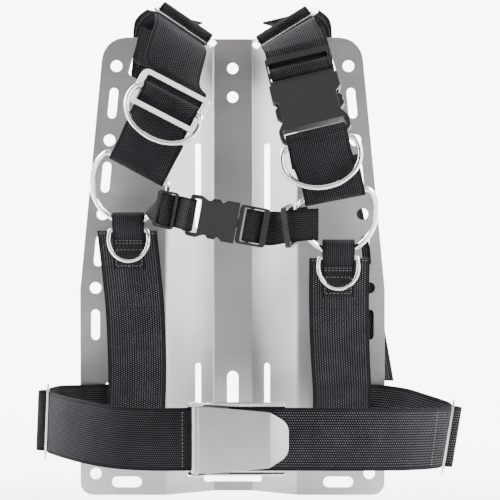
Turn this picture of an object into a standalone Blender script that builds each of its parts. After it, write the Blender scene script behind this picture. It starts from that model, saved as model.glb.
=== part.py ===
"""Diving backplate with its webbing harness: a folded steel plate, two shoulder straps, a chest strap
and a waist belt, with their rings, adjusters and buckles.

Frame, in metres: +X to the viewer's right when facing the wearer's side, +Z up, and the wearer's side
towards -Y. The origin is on the rear face of the plate's centre ridge, at half the plate's height.
"Forward" below is the distance in front of the plate's wings, towards the wearer.
"""

import math

import bmesh
import bpy
from mathutils import Matrix, Vector

MM = 0.001

# Plate
PLATE_HEIGHT = 402 * MM
PLATE_WIDTH = 267.6 * MM
TOP_WIDTH = 225 * MM  # between the tapering sides, carried up to the top edge
TAPER_END = 181 * MM  # height at which the sides turn parallel, from the bottom edge
PLATE_T = 3 * MM
RIDGE_DEPTH = 30 * MM
RIDGE_FLAT = 35 * MM  # width of the ridge's floor
RIDGE_MOUTH = 116 * MM  # width between the outer bends
BEND_RADIUS = 6 * MM
TOP_CORNER = 21 * MM
BOTTOM_CORNER = 11 * MM
EDGE_HOLE = 10.4 * MM
EDGE_HOLE_INSET = 13.4 * MM
EDGE_HOLE_PITCH = 32.4 * MM
EDGE_HOLE_TOP = 25 * MM  # below the top edge
EDGE_SLOT = (27 * MM, 7.6 * MM)
EDGE_HOLES = 8
BOTTOM_HOLE_UP = 19 * MM
BOTTOM_SLOT = (26.5 * MM, 9.6 * MM)
BOTTOM_SLOT_X = 93 * MM
BOTTOM_SLOT_UP = 11.5 * MM
CENTRE_HOLE = 10 * MM
CENTRE_HOLE_TOP = 26 * MM
CENTRE_HOLE_PITCH = 25.4 * MM
CENTRE_SLOT_LENGTH = 56 * MM
CROTCH_SLOT = (52 * MM, 6.4 * MM)
CROTCH_SLOT_UP = 11.4 * MM
SIDE_SLOT_X = 30.6 * MM  # slots in the ridge's sloping sides
SIDE_SLOT_WIDTH = 5 * MM
UPPER_SIDE_SLOT_TOP = 92.5 * MM  # below the top edge
UPPER_SIDE_SLOT_LENGTH = 75.5 * MM
LOWER_SIDE_SLOT_TOP = -86 * MM
BELT_SLOT_X = 108 * MM
BELT_SLOT_WIDTH = 9 * MM
STRAP_SLOT_X = 90.5 * MM
STRAP_SLOT_UP = 37 * MM
STRAP_SLOT_HEIGHT = 9 * MM

# Webbing
WIDE = 50.8 * MM
WIDE_T = 2 * MM
NARROW = 27 * MM
NARROW_T = 1.6 * MM
PLY = 0.35 * MM  # gap between plies, and between webbing and metal

# Hardware
RING_WIRE = 4.6 * MM
SMALL_WIRE = 3.6 * MM
RING_BAR = WIDE / 2 + 1.1 * MM
RING_HALF = WIDE / 2 + 7.1 * MM
SHOULDER_RING = (RING_BAR, RING_HALF, 12 * MM, 37 * MM)  # half bar, half width, belly, depth
LINK_RING = (RING_BAR, RING_HALF, 14 * MM, 52.5 * MM)
SMALL_RING = (NARROW / 2 + 1.4 * MM, NARROW / 2 + 3.3 * MM, 7 * MM, 26 * MM)
GLIDE_LENGTH = WIDE + 13.2 * MM
GLIDE_DEPTH = 33 * MM
GLIDE_T = 2 * MM
GLIDE_BAR = 5 * MM

WING_Y = -(RIDGE_DEPTH + PLATE_T)
PLATE_TOP = PLATE_HEIGHT / 2
PLATE_BOTTOM = -PLATE_HEIGHT / 2
BELT_Z = -128.5 * MM
RAMP = WIDE_T / 2 + PLY

STEEL = ("brushed_steel", (0.62, 0.61, 0.61, 1.0), 0.32, 1.0)
POLISHED = ("polished_steel", (0.78, 0.77, 0.75, 1.0), 0.12, 1.0)
WEBBING = ("black_webbing", (0.02, 0.02, 0.024, 1.0), 0.75, 0.0)
PLASTIC = ("black_plastic", (0.05, 0.05, 0.055, 1.0), 0.45, 0.0)


# ---------------------------------------------------------------- basics


def clear_scene():
    for obj in list(bpy.data.objects):
        bpy.data.objects.remove(obj, do_unlink=True)


def material(name, finish):
    """A Principled material for one sub-part."""
    _, colour, roughness, metallic = finish
    made = bpy.data.materials.new(name)
    made.use_nodes = True
    shader = made.node_tree.nodes["Principled BSDF"]
    shader.inputs["Base Color"].default_value = colour
    shader.inputs["Roughness"].default_value = roughness
    shader.inputs["Metallic"].default_value = metallic
    return made


def place(name, data, finish, matrix=None):
    """Links a new object that holds the data, with its own material."""
    obj = bpy.data.objects.new(name, data)
    bpy.context.scene.collection.objects.link(obj)
    data.materials.append(material(name + "_finish", finish))
    if matrix is not None:
        obj.matrix_world = matrix
    return obj


def mesh_of(name, bm):
    bmesh.ops.recalc_face_normals(bm, faces=bm.faces)
    data = bpy.data.meshes.new(name)
    bm.to_mesh(data)
    bm.free()
    return data


def smooth(obj, angle=40):
    obj.data.shade_smooth()
    obj.data.set_sharp_from_angle(angle=math.radians(angle))


def at(x, forward, z):
    """A point given by its distance in front of the wings."""
    return Vector((x, WING_Y - forward, z))


def frame(origin, u, n):
    """A matrix whose X runs along u and whose Z is n, made square to u."""
    u = u.normalized()
    v = n.cross(u).normalized()
    n = u.cross(v)
    made = Matrix((u, v, n)).transposed().to_4x4()
    made.translation = origin
    return made


def facing(origin, tilt, lean=0.0):
    """A frame facing the wearer: X turned up by tilt, the top leaning back by lean, both in degrees."""
    t, a = math.radians(tilt), math.radians(lean)
    u = Vector((math.cos(t), 0, math.sin(t)))
    up = Vector((-math.sin(t), 0, math.cos(t)))
    return frame(origin, u, Vector((0, -math.cos(a), 0)) + up * math.sin(a))


def rounded(corners, radii, steps=4, closed=True):
    """The corners of an outline, each turned by an arc."""
    points = [Vector(corner) for corner in corners]
    count = len(points)
    if not isinstance(radii, (list, tuple)):
        radii = [radii] * count
    outline = []
    for i, point in enumerate(points):
        open_end = not closed and i in (0, count - 1)
        if open_end or radii[i] <= 0:
            outline.append(point)
            continue
        back = (points[i - 1] - point).normalized()
        ahead = (points[(i + 1) % count] - point).normalized()
        half = back.angle(ahead) / 2
        centre = point + (back + ahead).normalized() * (radii[i] / math.sin(half))
        start = point + back * (radii[i] / math.tan(half)) - centre
        end = point + ahead * (radii[i] / math.tan(half)) - centre
        first = math.atan2(start.y, start.x)
        sweep = math.atan2(end.y, end.x) - first
        sweep = (sweep + math.pi) % (2 * math.pi) - math.pi
        for k in range(steps + 1):
            angle = first + sweep * k / steps
            outline.append(centre + Vector((math.cos(angle), math.sin(angle))) * radii[i])
    return outline


def box_outline(x0, y0, x1, y1, radius=0.0, steps=3):
    return rounded([(x0, y0), (x1, y0), (x1, y1), (x0, y1)], radius, steps)


def stadium(centre, length, width, angle=0.0, steps=6):
    """A slot's outline, its length along X turned by the angle. Equal length and width give a circle."""
    turn = Matrix.Rotation(math.radians(angle), 2)
    half, r = max(0.0, (length - width) / 2), width / 2
    points = []
    for side in (1, -1):
        for k in range(steps + 1):
            a = math.pi * (k / steps - 0.5)
            local = Vector((side * (half + r * math.cos(a)), side * r * math.sin(a)))
            points.append(Vector(centre) + turn @ local)
    merged = [p for i, p in enumerate(points) if (p - points[i - 1]).length > 1e-6]
    return merged


def prism(bm, outline, low, high, axis="Y"):
    """A straight-sided solid on an outline: (x, z) run along Y, or (x, y) run along Z."""
    if axis == "Y":
        base = [bm.verts.new((p.x, low, p.y)) for p in outline]
        run = Vector((0, high - low, 0))
    else:
        base = [bm.verts.new((p.x, p.y, low)) for p in outline]
        run = Vector((0, 0, high - low))
    face = bm.faces.new(base)
    grown = bmesh.ops.extrude_face_region(bm, geom=[face])
    moved = [g for g in grown["geom"] if isinstance(g, bmesh.types.BMVert)]
    bmesh.ops.translate(bm, verts=moved, vec=run)


def hidden(name, bm, matrix=None):
    """A helper solid that only Booleans use."""
    obj = bpy.data.objects.new(name, mesh_of(name, bm))
    bpy.context.scene.collection.objects.link(obj)
    obj.hide_render = True
    obj.display_type = "WIRE"
    if matrix is not None:
        obj.matrix_world = matrix
    return obj


def rod(name, radius, length, matrix):
    """A helper cylinder along the frame's Z."""
    bm = bmesh.new()
    bmesh.ops.create_cone(bm, cap_ends=True, segments=16, radius1=radius, radius2=radius, depth=length)
    return hidden(name, bm, matrix)


def cutter(name, outlines, low, high, axis="Y", matrix=None):
    """A hidden solid that a Boolean takes away."""
    bm = bmesh.new()
    for outline in outlines:
        prism(bm, outline, low, high, axis)
    return hidden(name, bm, matrix)


def boolean(obj, other, operation="DIFFERENCE"):
    modifier = obj.modifiers.new(operation.title() + "_" + other.name, "BOOLEAN")
    modifier.operation = operation
    modifier.object = other
    modifier.solver = "EXACT"
    modifier.use_self = True


def flat_piece(name, outline, holes, thickness, matrix, finish):
    """A plate in the frame's XY plane with straight holes through it."""
    data = bpy.data.curves.new(name, "CURVE")
    data.dimensions = "2D"
    data.fill_mode = "BOTH"
    data.extrude = thickness / 2
    for loop in [outline, *holes]:
        spline = data.splines.new("POLY")
        spline.points.add(len(loop) - 1)
        for point, place_at in zip(spline.points, loop):
            point.co = (place_at.x, place_at.y, 0, 1)
        spline.use_cyclic_u = True
    return place(name, data, finish, matrix)


def wire_loop(name, points, wire, matrix, finish, sides=2):
    """A closed ring of round wire through local points."""
    data = bpy.data.curves.new(name, "CURVE")
    data.dimensions = "3D"
    data.bevel_depth = wire / 2
    data.bevel_resolution = sides
    spline = data.splines.new("POLY")
    spline.points.add(len(points) - 1)
    for point, local in zip(spline.points, points):
        point.co = (*local, 1)
    spline.use_cyclic_u = True
    return place(name, data, finish, matrix)


def d_points(sizes, corner, bow=7):
    """A D ring's centre line: its bar on local X, the bow hanging towards -Y."""
    bar, half, belly, depth = sizes
    right = []
    for k in range(corner):
        a = math.pi / 2 * k / corner
        right.append((bar + (half - bar) * math.sin(a), -belly * (1 - math.cos(a)), 0))
    for k in range(bow + 1):
        a = math.pi / 2 * k / bow
        right.append((half * math.cos(a), -belly - (depth - belly) * math.sin(a), 0))
    left = [(-x, y, z) for x, y, z in reversed(right[:-1])]
    return right + left


# ---------------------------------------------------------------- webbing


def station(x, forward, z, tilt=0.0, lean=0.0):
    """One place along a strap, in millimetres and degrees: its centre and its width's direction."""
    t, a = math.radians(tilt), math.radians(lean)
    across = Vector((math.cos(t) * math.cos(a), math.sin(a), math.sin(t) * math.cos(a)))
    return at(x * MM, forward * MM, z * MM), across


def along(matrix, path):
    """Places along a strap given in a piece's own frame as (y, z), the width on the frame's X."""
    across = matrix.to_3x3() @ Vector((1, 0, 0))
    return [(matrix @ Vector((0, v, n)), across) for v, n in path]


def spline_of(stations, steps=3):
    """The stations with a smooth run between them."""
    made = []
    last = len(stations) - 1
    for i in range(last):
        around = [stations[max(0, min(last, i + k))] for k in (-1, 0, 1, 2)]
        for k in range(steps):
            t = k / steps
            made.append(tuple(catmull(*[s[part] for s in around], t) for part in (0, 1)))
    made.append(stations[last])
    return made


def catmull(a, b, c, d, t):
    return 0.5 * (
        2 * b + (c - a) * t + (2 * a - 5 * b + 4 * c - d) * t**2 + (3 * b - a - 3 * c + d) * t**3
    )


def strap(name, stations, width, thickness):
    """A ribbon through the stations, thickened evenly on both faces."""
    bm = bmesh.new()
    rows = []
    for centre, across in stations:
        side = across.normalized() * width / 2
        rows.append((bm.verts.new(centre - side), bm.verts.new(centre + side)))
    for (a, b), (c, d) in zip(rows, rows[1:]):
        bm.faces.new((a, b, d, c))
    obj = place(name, mesh_of(name, bm), WEBBING)
    solid = obj.modifiers.new("Thickness", "SOLIDIFY")
    solid.thickness = thickness
    solid.offset = 0
    solid.use_even_offset = True
    solid.thickness_clamp = 0
    return obj


def wrap(radius, tail, ply, thickness):
    """A strap's end turned round a bar on the frame's X, from the tail's end at the back to the front."""
    close = (thickness + ply) / 2
    turn = [
        (radius * math.cos(a), radius * math.sin(a))
        for a in (math.radians(d) for d in (270, 225, 180, 135, 90))
    ]
    return [(tail, -close), (radius * 2.6, -close), *turn, (radius * 2.6, close)]


# ---------------------------------------------------------------- plate


def edge_x(z):
    """Half the plate's width at a height."""
    turn = PLATE_BOTTOM + TAPER_END
    share = max(0.0, (z - turn) / (PLATE_TOP - turn))
    return PLATE_WIDTH / 2 + (TOP_WIDTH - PLATE_WIDTH) / 2 * share


def plate_outline():
    turn = PLATE_BOTTOM + TAPER_END
    half, top = PLATE_WIDTH / 2, TOP_WIDTH / 2
    corners = [(-half, PLATE_BOTTOM), (half, PLATE_BOTTOM), (half, turn), (top, PLATE_TOP)]
    corners += [(-top, PLATE_TOP), (-half, turn)]
    radii = [BOTTOM_CORNER, BOTTOM_CORNER, 30 * MM, TOP_CORNER, TOP_CORNER, 30 * MM]
    return rounded(corners, radii, 5)


def shoulder_window(side):
    """The opening that a shoulder strap loops through, under the plate's top edge."""
    corners = [(84, 5), (70, 5), (33, 33), (40, 60), (91.5, 32)]
    return rounded([(side * x * MM, PLATE_TOP - down * MM) for x, down in corners], 2.5 * MM, 2)


def plate_holes():
    """Every opening in the plate, as outlines seen along Y."""
    holes = [
        stadium((0, PLATE_TOP - CENTRE_HOLE_TOP - CENTRE_HOLE_PITCH * k), CENTRE_HOLE, CENTRE_HOLE)
        for k in (0, 1)
    ]
    belt_low = BELT_Z - WIDE / 2 - 3 * MM
    slot_top = -94 * MM
    holes.append(stadium((0, slot_top - CENTRE_SLOT_LENGTH / 2), CENTRE_SLOT_LENGTH, CENTRE_HOLE, 90))
    holes.append(stadium((0, PLATE_BOTTOM + CROTCH_SLOT_UP), *CROTCH_SLOT))
    taper = math.degrees(math.atan2((PLATE_WIDTH - TOP_WIDTH) / 2, PLATE_HEIGHT - TAPER_END))
    for side in (-1, 1):
        for k in range(EDGE_HOLES):
            z = PLATE_TOP - EDGE_HOLE_TOP - EDGE_HOLE_PITCH * k
            size = EDGE_SLOT if k % 2 else (EDGE_HOLE, EDGE_HOLE)
            lean = taper if edge_x(z) < PLATE_WIDTH / 2 else 0
            holes.append(stadium((side * (edge_x(z) - EDGE_HOLE_INSET), z), *size, 90 + side * lean))
        low = PLATE_BOTTOM + BOTTOM_HOLE_UP
        holes.append(stadium((side * (PLATE_WIDTH / 2 - EDGE_HOLE_INSET), low), EDGE_HOLE, EDGE_HOLE))
        holes.append(stadium((side * BOTTOM_SLOT_X, PLATE_BOTTOM + BOTTOM_SLOT_UP), *BOTTOM_SLOT))
        holes.append(shoulder_window(side))
        belt = (side * BELT_SLOT_X, BELT_Z)
        holes.append(stadium(belt, WIDE + 4 * MM, BELT_SLOT_WIDTH, 90))
        strap_slot = (side * STRAP_SLOT_X, PLATE_BOTTOM + STRAP_SLOT_UP)
        holes.append(stadium(strap_slot, WIDE + 20 * MM, STRAP_SLOT_HEIGHT))
        upper = (PLATE_TOP - UPPER_SIDE_SLOT_TOP, UPPER_SIDE_SLOT_LENGTH)
        lower = (LOWER_SIDE_SLOT_TOP, LOWER_SIDE_SLOT_TOP - belt_low)
        for top, length in (upper, lower):
            holes.append(stadium((side * SIDE_SLOT_X, top - length / 2), length, SIDE_SLOT_WIDTH, 90))
    return holes


def make_plate():
    wing, floor = WING_Y + PLATE_T / 2, -PLATE_T / 2
    line = [(-PLATE_WIDTH, wing), (-RIDGE_MOUTH / 2, wing), (-RIDGE_FLAT / 2, floor)]
    line += [(-x, y) for x, y in reversed(line)]
    bm = bmesh.new()
    points = rounded(line, BEND_RADIUS, 4, closed=False)
    low = PLATE_BOTTOM - 5 * MM
    verts = [bm.verts.new((p.x, p.y, low)) for p in points]
    edges = [bm.edges.new(pair) for pair in zip(verts, verts[1:])]
    grown = bmesh.ops.extrude_edge_only(bm, edges=edges)["geom"]
    moved = [g for g in grown if isinstance(g, bmesh.types.BMVert)]
    bmesh.ops.translate(bm, verts=moved, vec=Vector((0, 0, PLATE_HEIGHT + 10 * MM)))
    plate = place("backplate", mesh_of("backplate", bm), STEEL)
    solid = plate.modifiers.new("Thickness", "SOLIDIFY")
    solid.thickness = PLATE_T
    solid.offset = 0
    solid.use_even_offset = True
    front, back = WING_Y - 20 * MM, 20 * MM
    boolean(plate, cutter("plate_outline", [plate_outline()], front, back), "INTERSECT")
    boolean(plate, cutter("plate_openings", plate_holes(), front, back))
    return plate


# ---------------------------------------------------------------- hardware


def glide_outline():
    return box_outline(-GLIDE_LENGTH / 2, -GLIDE_DEPTH / 2, GLIDE_LENGTH / 2, GLIDE_DEPTH / 2, 6 * MM, 4)


def glide_slots():
    """The two windows of an adjuster, between its edge bars and its centre bar."""
    half = WIDE / 2 + 1.2 * MM
    inner, outer = GLIDE_BAR / 2, GLIDE_DEPTH / 2 - GLIDE_BAR
    spans = ((inner, outer), (-outer, -inner))
    return [box_outline(-half, low, half, high, 1.2 * MM, 2) for low, high in spans]


def tri_glide(name, matrix):
    return flat_piece(name, glide_outline(), glide_slots(), GLIDE_T, matrix, POLISHED)


def glide_path(hump=0.0, reach=20 * MM):
    """A strap's way through an adjuster: behind an edge bar, over the centre bar, behind the other."""
    under = GLIDE_T / 2 + RAMP
    inner, outer = GLIDE_BAR / 2, GLIDE_DEPTH / 2 - GLIDE_BAR
    top = under + hump
    side = inner + RAMP + 0.3 * MM
    half = [(outer - 1.0 * MM, -under)]
    if hump > 0:
        half += [(side + 0.6 * MM, -0.4 * MM), (side + 0.3 * MM, under * 0.6 + hump * 0.35)]
        half += [(side * 0.72, top - 1.2 * MM), (side * 0.25, top)]
    else:
        half += [(inner + 1.0 * MM, under)]
    front = [(reach, -under), *half]
    return front + [(-v, n) for v, n in reversed(front)]


def d_ring(name, sizes, wire, matrix, corner=5):
    return wire_loop(name, d_points(sizes, corner), wire, matrix, POLISHED)


class Buckle:
    """A side-release buckle in its own frame: X across, Y from the socket to the plug, Z to the front."""

    def __init__(self, label, matrix, web, half, body, bar_end, plug, thick, tongue):
        self.label, self.matrix = label, matrix
        self.web, self.half, self.body, self.bar_end = web, half, body, bar_end
        self.plug, self.thick, self.tongue = plug, thick, tongue
        self.bar = 3.6 * MM
        self.base = 4.2 * MM
        self.adjuster = (9 * MM, 12 * MM)
        self.ear = thick * 0.5
        self.plug_t = thick * 0.42
        self.cavity = thick - 4.4 * MM
        self.arm_t = self.cavity - 1.0 * MM
        self.gap = 0.4 * MM

    def solid(self, name, outline, thickness):
        bm = bmesh.new()
        prism(bm, outline, -thickness / 2, thickness / 2, "Z")
        return place(name, mesh_of(name, bm), PLASTIC, self.matrix)

    def cut(self, obj, name, outlines, thickness):
        tool = cutter(name, outlines, -thickness / 2, thickness / 2, "Z", self.matrix)
        boolean(obj, tool)

    def socket(self):
        """The half that the arms click into, with a bar for the strap at its far end."""
        w, b, e = self.half, self.body, self.bar_end
        notch = w - self.half * 0.16
        side = [(w, 0), (w, -b * 0.33), (notch, -b * 0.42), (notch, -b * 0.82)]
        side += [(w * 1.03, -b * 1.02), (w * 1.0, -e)]
        corners = side + [(-x, y) for x, y in reversed(side)]
        radii = [1.5, 3, 2.5, 2.5, 3, 4]
        radii = [r * MM * self.half / (29 * MM) for r in radii + radii[::-1]]
        body = self.solid(self.label + "_buckle_socket", rounded(corners, radii, 3), self.thick)
        slot = box_outline(
            -self.web / 2 - 0.6 * MM, -e + self.bar, self.web / 2 + 0.6 * MM, -b * 1.0, 1 * MM, 2
        )
        inner = w - 2.4 * MM
        mouth = box_outline(-inner, -b * 0.88, inner, 5 * MM, 1 * MM, 2)
        for k, low in enumerate((-self.thick, self.ear / 2)):
            name = f"{self.label}_socket_relief_{k}"
            relief = [box_outline(-w * 1.2, -e - 2 * MM, w * 1.2, -b * 1.04)]
            boolean(body, cutter(name, relief, low, low + self.thick - self.ear / 2, "Z", self.matrix))
        self.cut(body, self.label + "_socket_slot", [slot], self.thick * 2)
        self.cut(body, self.label + "_socket_cavity", [mouth], self.cavity)
        return body

    def plug_body(self):
        """The half with the adjuster bar and the centre tongue."""
        w, p = self.half * 0.95, self.plug
        outline = box_outline(-w, self.gap, w, p, 3 * MM, 3)
        body = self.solid(self.label + "_buckle_plug", outline, self.plug_t)
        half = self.web / 2 + 0.8 * MM
        low, high = self.adjuster
        top = p - 5.2 * MM
        windows = [
            box_outline(-half, self.base, half, low, 0.8 * MM, 2),
            box_outline(-half, high, half, top, 0.8 * MM, 2),
        ]
        self.cut(body, self.label + "_plug_windows", windows, self.thick * 2)
        tongue = bmesh.new()
        shape = box_outline(-self.tongue, -self.body * 0.7, self.tongue, self.base * 0.6, 2 * MM, 3)
        prism(tongue, shape, -self.arm_t / 2, self.arm_t / 2, "Z")
        boolean(body, hidden(self.label + "_tongue", tongue, self.matrix), "UNION")
        return body

    def arm(self, name, side):
        """One springy arm, its release pad standing in the socket's side notch."""
        w, b = self.half, self.body
        inner = self.tongue + 3.2 * MM
        corners = [
            (inner, 0),
            (inner, -b * 0.78),
            (w - 4.5 * MM, -b * 0.8),
            (w - 0.4 * MM, -b * 0.7),
            (w - 0.4 * MM, -b * 0.52),
            (w - 5.6 * MM, -b * 0.4),
            (inner + 4.5 * MM, -b * 0.2),
            (inner + 4.5 * MM, 0),
        ]
        outline = rounded([(side * x, y) for x, y in corners], 0.9 * MM, 2)
        arm = self.solid(name, outline, self.arm_t)
        pivot = Vector((side * (inner + 2.2 * MM), -0.8 * MM, 0))
        arm.data.transform(Matrix.Translation(-pivot))
        arm.matrix_world = self.matrix @ Matrix.Translation(pivot)
        return arm

    def bar_wrap(self, thickness):
        """The radius at which a strap clears the socket's bar."""
        return (math.hypot(self.bar, self.ear) / 2 + PLY + thickness / 2) / math.cos(math.radians(22.5))

    def plug_wrap(self, tail, reach, thickness):
        """A strap through the plug: in behind its end bar, over the adjuster bar and back behind."""
        low, high = self.adjuster
        mid = (low + high) / 2
        corner = math.hypot((high - low) / 2, self.plug_t / 2)
        r = (corner + PLY + thickness / 2) / math.cos(math.radians(28.5))
        back = self.plug_t / 2 + PLY + thickness / 2
        turn = [
            (mid + r * math.cos(a), r * math.sin(a))
            for a in (math.radians(d) for d in (35, 90, 145, 180, 225, 270))
        ]
        step = thickness + 2 * PLY
        start = [(reach, -back), (self.plug - 5.6 * MM, -back), (mid + r + 1.8 * MM, -r * 0.35)]
        end = [(high + 3.0 * MM, -r - 1.6 * MM), (self.plug - 5 * MM, -back - step), (tail, -back - step)]
        return start + turn + end


# ---------------------------------------------------------------- straps and their rings


class Side:
    """The places that differ between the left and right shoulder straps, in millimetres and degrees."""

    def __init__(self, sign, top, top_tilt, link, link_tilt, link_forward, strap_top, tab_x, lower):
        self.sign = sign
        self.label = "left" if sign < 0 else "right"
        self.top, self.top_tilt = top, top_tilt
        self.link, self.link_tilt, self.link_forward = link, link_tilt, link_forward
        self.strap_top, self.tab_x, self.lower = strap_top, tab_x, lower

    def top_frame(self):
        x, above = self.top
        return facing(at(x * MM, 22 * MM, PLATE_TOP + above * MM), self.top_tilt, 78)

    def link_frame(self):
        x, z = self.link
        return facing(at(x * MM, self.link_forward * MM, z * MM), self.link_tilt, -LINK_LEAN)

    def fold_frame(self):
        x, z = self.link
        return facing(at(x * MM, self.link_forward * MM, z * MM), self.link_tilt, 4)

    def tab_frame(self):
        _, forward, z = self.strap_top
        return facing(at(self.tab_x * MM, forward * MM, z * MM), 0, -TAB_LEAN)

    def strap_frame(self):
        x, forward, z = self.strap_top
        return facing(at(x * MM, forward * MM, z * MM), 0, -TAB_LEAN)

    def mirrored(self, stations):
        """Stations at this side, from their distance outwards, forward and above the plate's top edge."""
        top, out = PLATE_TOP / MM, self.sign
        return [station(out * x, f, top + z, -out * t, -out * a) for x, f, z, t, a in stations]


LINK_LEAN = 23
TAB_LEAN = 21

LEFT = Side(
    sign=-1,
    top=(-41.6, 9.8),
    top_tilt=-34.5,
    link=(-78.6, 87.6),
    link_tilt=-28.0,
    link_forward=95,
    strap_top=(-89.2, 69, 33.6),
    tab_x=-87.8,
    lower=[-86.2, (-84, 41, -30), (-83.2, 28, -60), (-83, 17, -95), (-84.5, 10, -128)],
)
RIGHT = Side(
    sign=1,
    top=(45.6, 7.0),
    top_tilt=31.8,
    link=(85.2, 64.9),
    link_tilt=10.8,
    link_forward=125,
    strap_top=(90.4, 99, 11.6),
    tab_x=89.3,
    lower=[90.4, (91.5, 68, -55), (93.6, 46, -85), (95.6, 26, -112), (95.2, 14, -136)],
)

GLIDE_MID = facing(at(-52 * MM, 93 * MM, 143.6 * MM), -27.5, 14)
SHOULDER_BUCKLE = Buckle(
    "shoulder",
    facing(at(59.4 * MM, 116 * MM, 159.6 * MM), 13.3, 22),
    WIDE, 29 * MM, 41 * MM, 52 * MM, 26 * MM, 11 * MM, 8 * MM,
)
CHEST_BUCKLE = Buckle(
    "chest",
    facing(at(4.6 * MM, 117 * MM, 41.4 * MM), -100.4, 0),
    NARROW, 17.2 * MM, 32 * MM, 41.5 * MM, 26 * MM, 9 * MM, 3.6 * MM,
)
RIGHT_D = facing(at(71.4 * MM, 137.6 * MM, 108.4 * MM), 11.2, 0)


def ring_wrap_radius():
    return RING_WIRE / 2 + PLY * 1.2 + WIDE_T / 2 + 0.25 * MM


def rear_loop(side):
    """From the top adjuster over the plate's edge, down behind it and forward through the window."""
    return side.mirrored(
        [
            (53, -8, 12, -13, 2),
            (59.5, -18.5, 6.5, -7, 13),
            (62, -18, -5, -14, 16),
            (62.5, -15.5, -21, -26, 16),
            (63, -10.5, -29, -27, 13),
            (63, -3.5, -32, -27, 8),
            (62.5, 2.6, -29, -27, 2),
            (61, 4.5, -17, -25, 0),
            (56, 9, 0, -21, 0),
        ]
    )


def make_left_shoulder():
    side = LEFT
    radius = ring_wrap_radius()
    path = along(side.fold_frame(), wrap(radius, 34 * MM, PLY, WIDE_T))
    mid = along(GLIDE_MID, glide_path(hump=RING_WIRE + 0.6 * MM)[::-1])
    top = along(side.top_frame(), glide_path(hump=4.0 * MM)[::-1])
    rise = [path[-1], mid[0]]
    climb = [mid[-1], station(-50, 85, 168, -26), station(-46.5, 72, 186, -27)]
    climb += [station(-43.5, 56, 199, -31), top[0]]
    stations = path[:-1] + spline_of(rise, 2)[:-1] + mid[:-1] + spline_of(climb)[:-1]
    stations += top[:-1] + spline_of([top[-1], *rear_loop(side)])
    strap("left_shoulder_strap", stations, WIDE, WIDE_T)
    tri_glide("left_top_tri_glide", side.top_frame())
    tri_glide("left_chest_tri_glide", GLIDE_MID)
    lift = GLIDE_T / 2 + PLY + RING_WIRE / 2
    bar = GLIDE_MID @ Vector((0, 0, lift))
    d_ring("left_shoulder_ring", SHOULDER_RING, RING_WIRE, facing(bar, -27.5, 15))


def make_right_shoulder():
    side = RIGHT
    top = along(side.top_frame(), glide_path(hump=4.0 * MM)[::-1])
    plug = along(SHOULDER_BUCKLE.matrix, SHOULDER_BUCKLE.plug_wrap(32 * MM, 34 * MM, WIDE_T))
    climb = [plug[0], station(49.5, 84, 196.5, 22), station(47, 66, 201.5, 29), top[0]]
    upper = plug[::-1][:-1] + spline_of(climb)[:-1]
    upper += top[:-1] + spline_of([top[-1], *rear_loop(side)])
    strap("right_shoulder_strap", upper, WIDE, WIDE_T)
    tri_glide("right_top_tri_glide", side.top_frame())

    fold = along(side.fold_frame(), wrap(ring_wrap_radius(), 30 * MM, PLY, WIDE_T))
    socket = SHOULDER_BUCKLE
    bar_v = -socket.bar_end + socket.bar / 2
    r = socket.bar_wrap(WIDE_T)
    angles = [math.radians(d) for d in (135, 90, 45, 0, -45, -90, -135)]
    down = [(bar_v + r * math.cos(a), r * math.sin(a)) for a in angles]
    down += [(bar_v - 8 * MM, -4.0 * MM)]
    over = facing(RIGHT_D.translation, 11.2, -13)
    hump = RING_WIRE / 2 + PLY + WIDE_T / 2 + 0.3 * MM
    bump = along(over, [(-11 * MM, 1.2 * MM), (-3.2 * MM, hump * 0.92), (0, hump * 1.1), (2.6 * MM, hump)])
    head = along(socket.matrix, down)
    tail = along(over, [(-9 * MM, -3.0 * MM), (-19 * MM, -3.9 * MM)])
    rise = [fold[-1], bump[0]]
    stations = fold[:-1] + spline_of(rise, 2)[:-1] + bump + head + tail
    strap("right_chest_strap", stations, WIDE, WIDE_T)
    d_ring("right_shoulder_ring", SHOULDER_RING, RING_WIRE, RIGHT_D)


def make_side_common(side):
    """The link ring, its tab, the small ring, the lower strap and the rear tail."""
    d_ring(side.label + "_link_ring", LINK_RING, RING_WIRE, side.link_frame())
    tab = side.tab_frame()
    web = WIDE_T / 2 + PLY + NARROW_T / 2
    small_bar = (2.0 * MM, 3.4 * MM)
    front = SMALL_WIRE / 2 + PLY + NARROW_T / 2
    path = [
        (-34 * MM, web),
        (-5.5 * MM, web),
        (-1.4 * MM, 4.6 * MM),
        (small_bar[0], small_bar[1] + front + 0.2 * MM),
        (7 * MM, 8.7 * MM),
        (12.5 * MM, 9.8 * MM),
        (16.4 * MM, 8.4 * MM),
        (17.6 * MM, 4.6 * MM),
        (17 * MM, 1 * MM),
        (14.4 * MM, -2 * MM),
        (9 * MM, -2.6 * MM),
        (4 * MM, -2.5 * MM),
        (0, -web),
        (-19 * MM, -web),
    ]
    strap(side.label + "_ring_tab", along(tab, path), NARROW, NARROW_T)
    bar = tab @ Vector((0, *small_bar))
    d_ring(side.label + "_small_ring", SMALL_RING, SMALL_WIRE, facing(bar, 0, 0), corner=3)

    head = along(side.strap_frame(), [(0, 0), (-36 * MM, 0)])
    head[1][0].x = side.lower[0] * MM
    x = side.lower[-1][0]
    slot_z = (PLATE_BOTTOM + STRAP_SLOT_UP) / MM
    down = [station(*place_at) for place_at in side.lower[1:]]
    through = [(7.0, 7.5), (1.6, 1.4), (-2.6, -1.4), (-6.6, 0.6), (-8.4, 9), (-8.4, 52)]
    foot = [station(x, f, slot_z + rise) for f, rise in through]
    stations = head[:1] + spline_of([head[1], *down, foot[0]], 2) + foot[1:]
    strap(side.label + "_lower_strap", stations, WIDE, WIDE_T)


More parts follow.
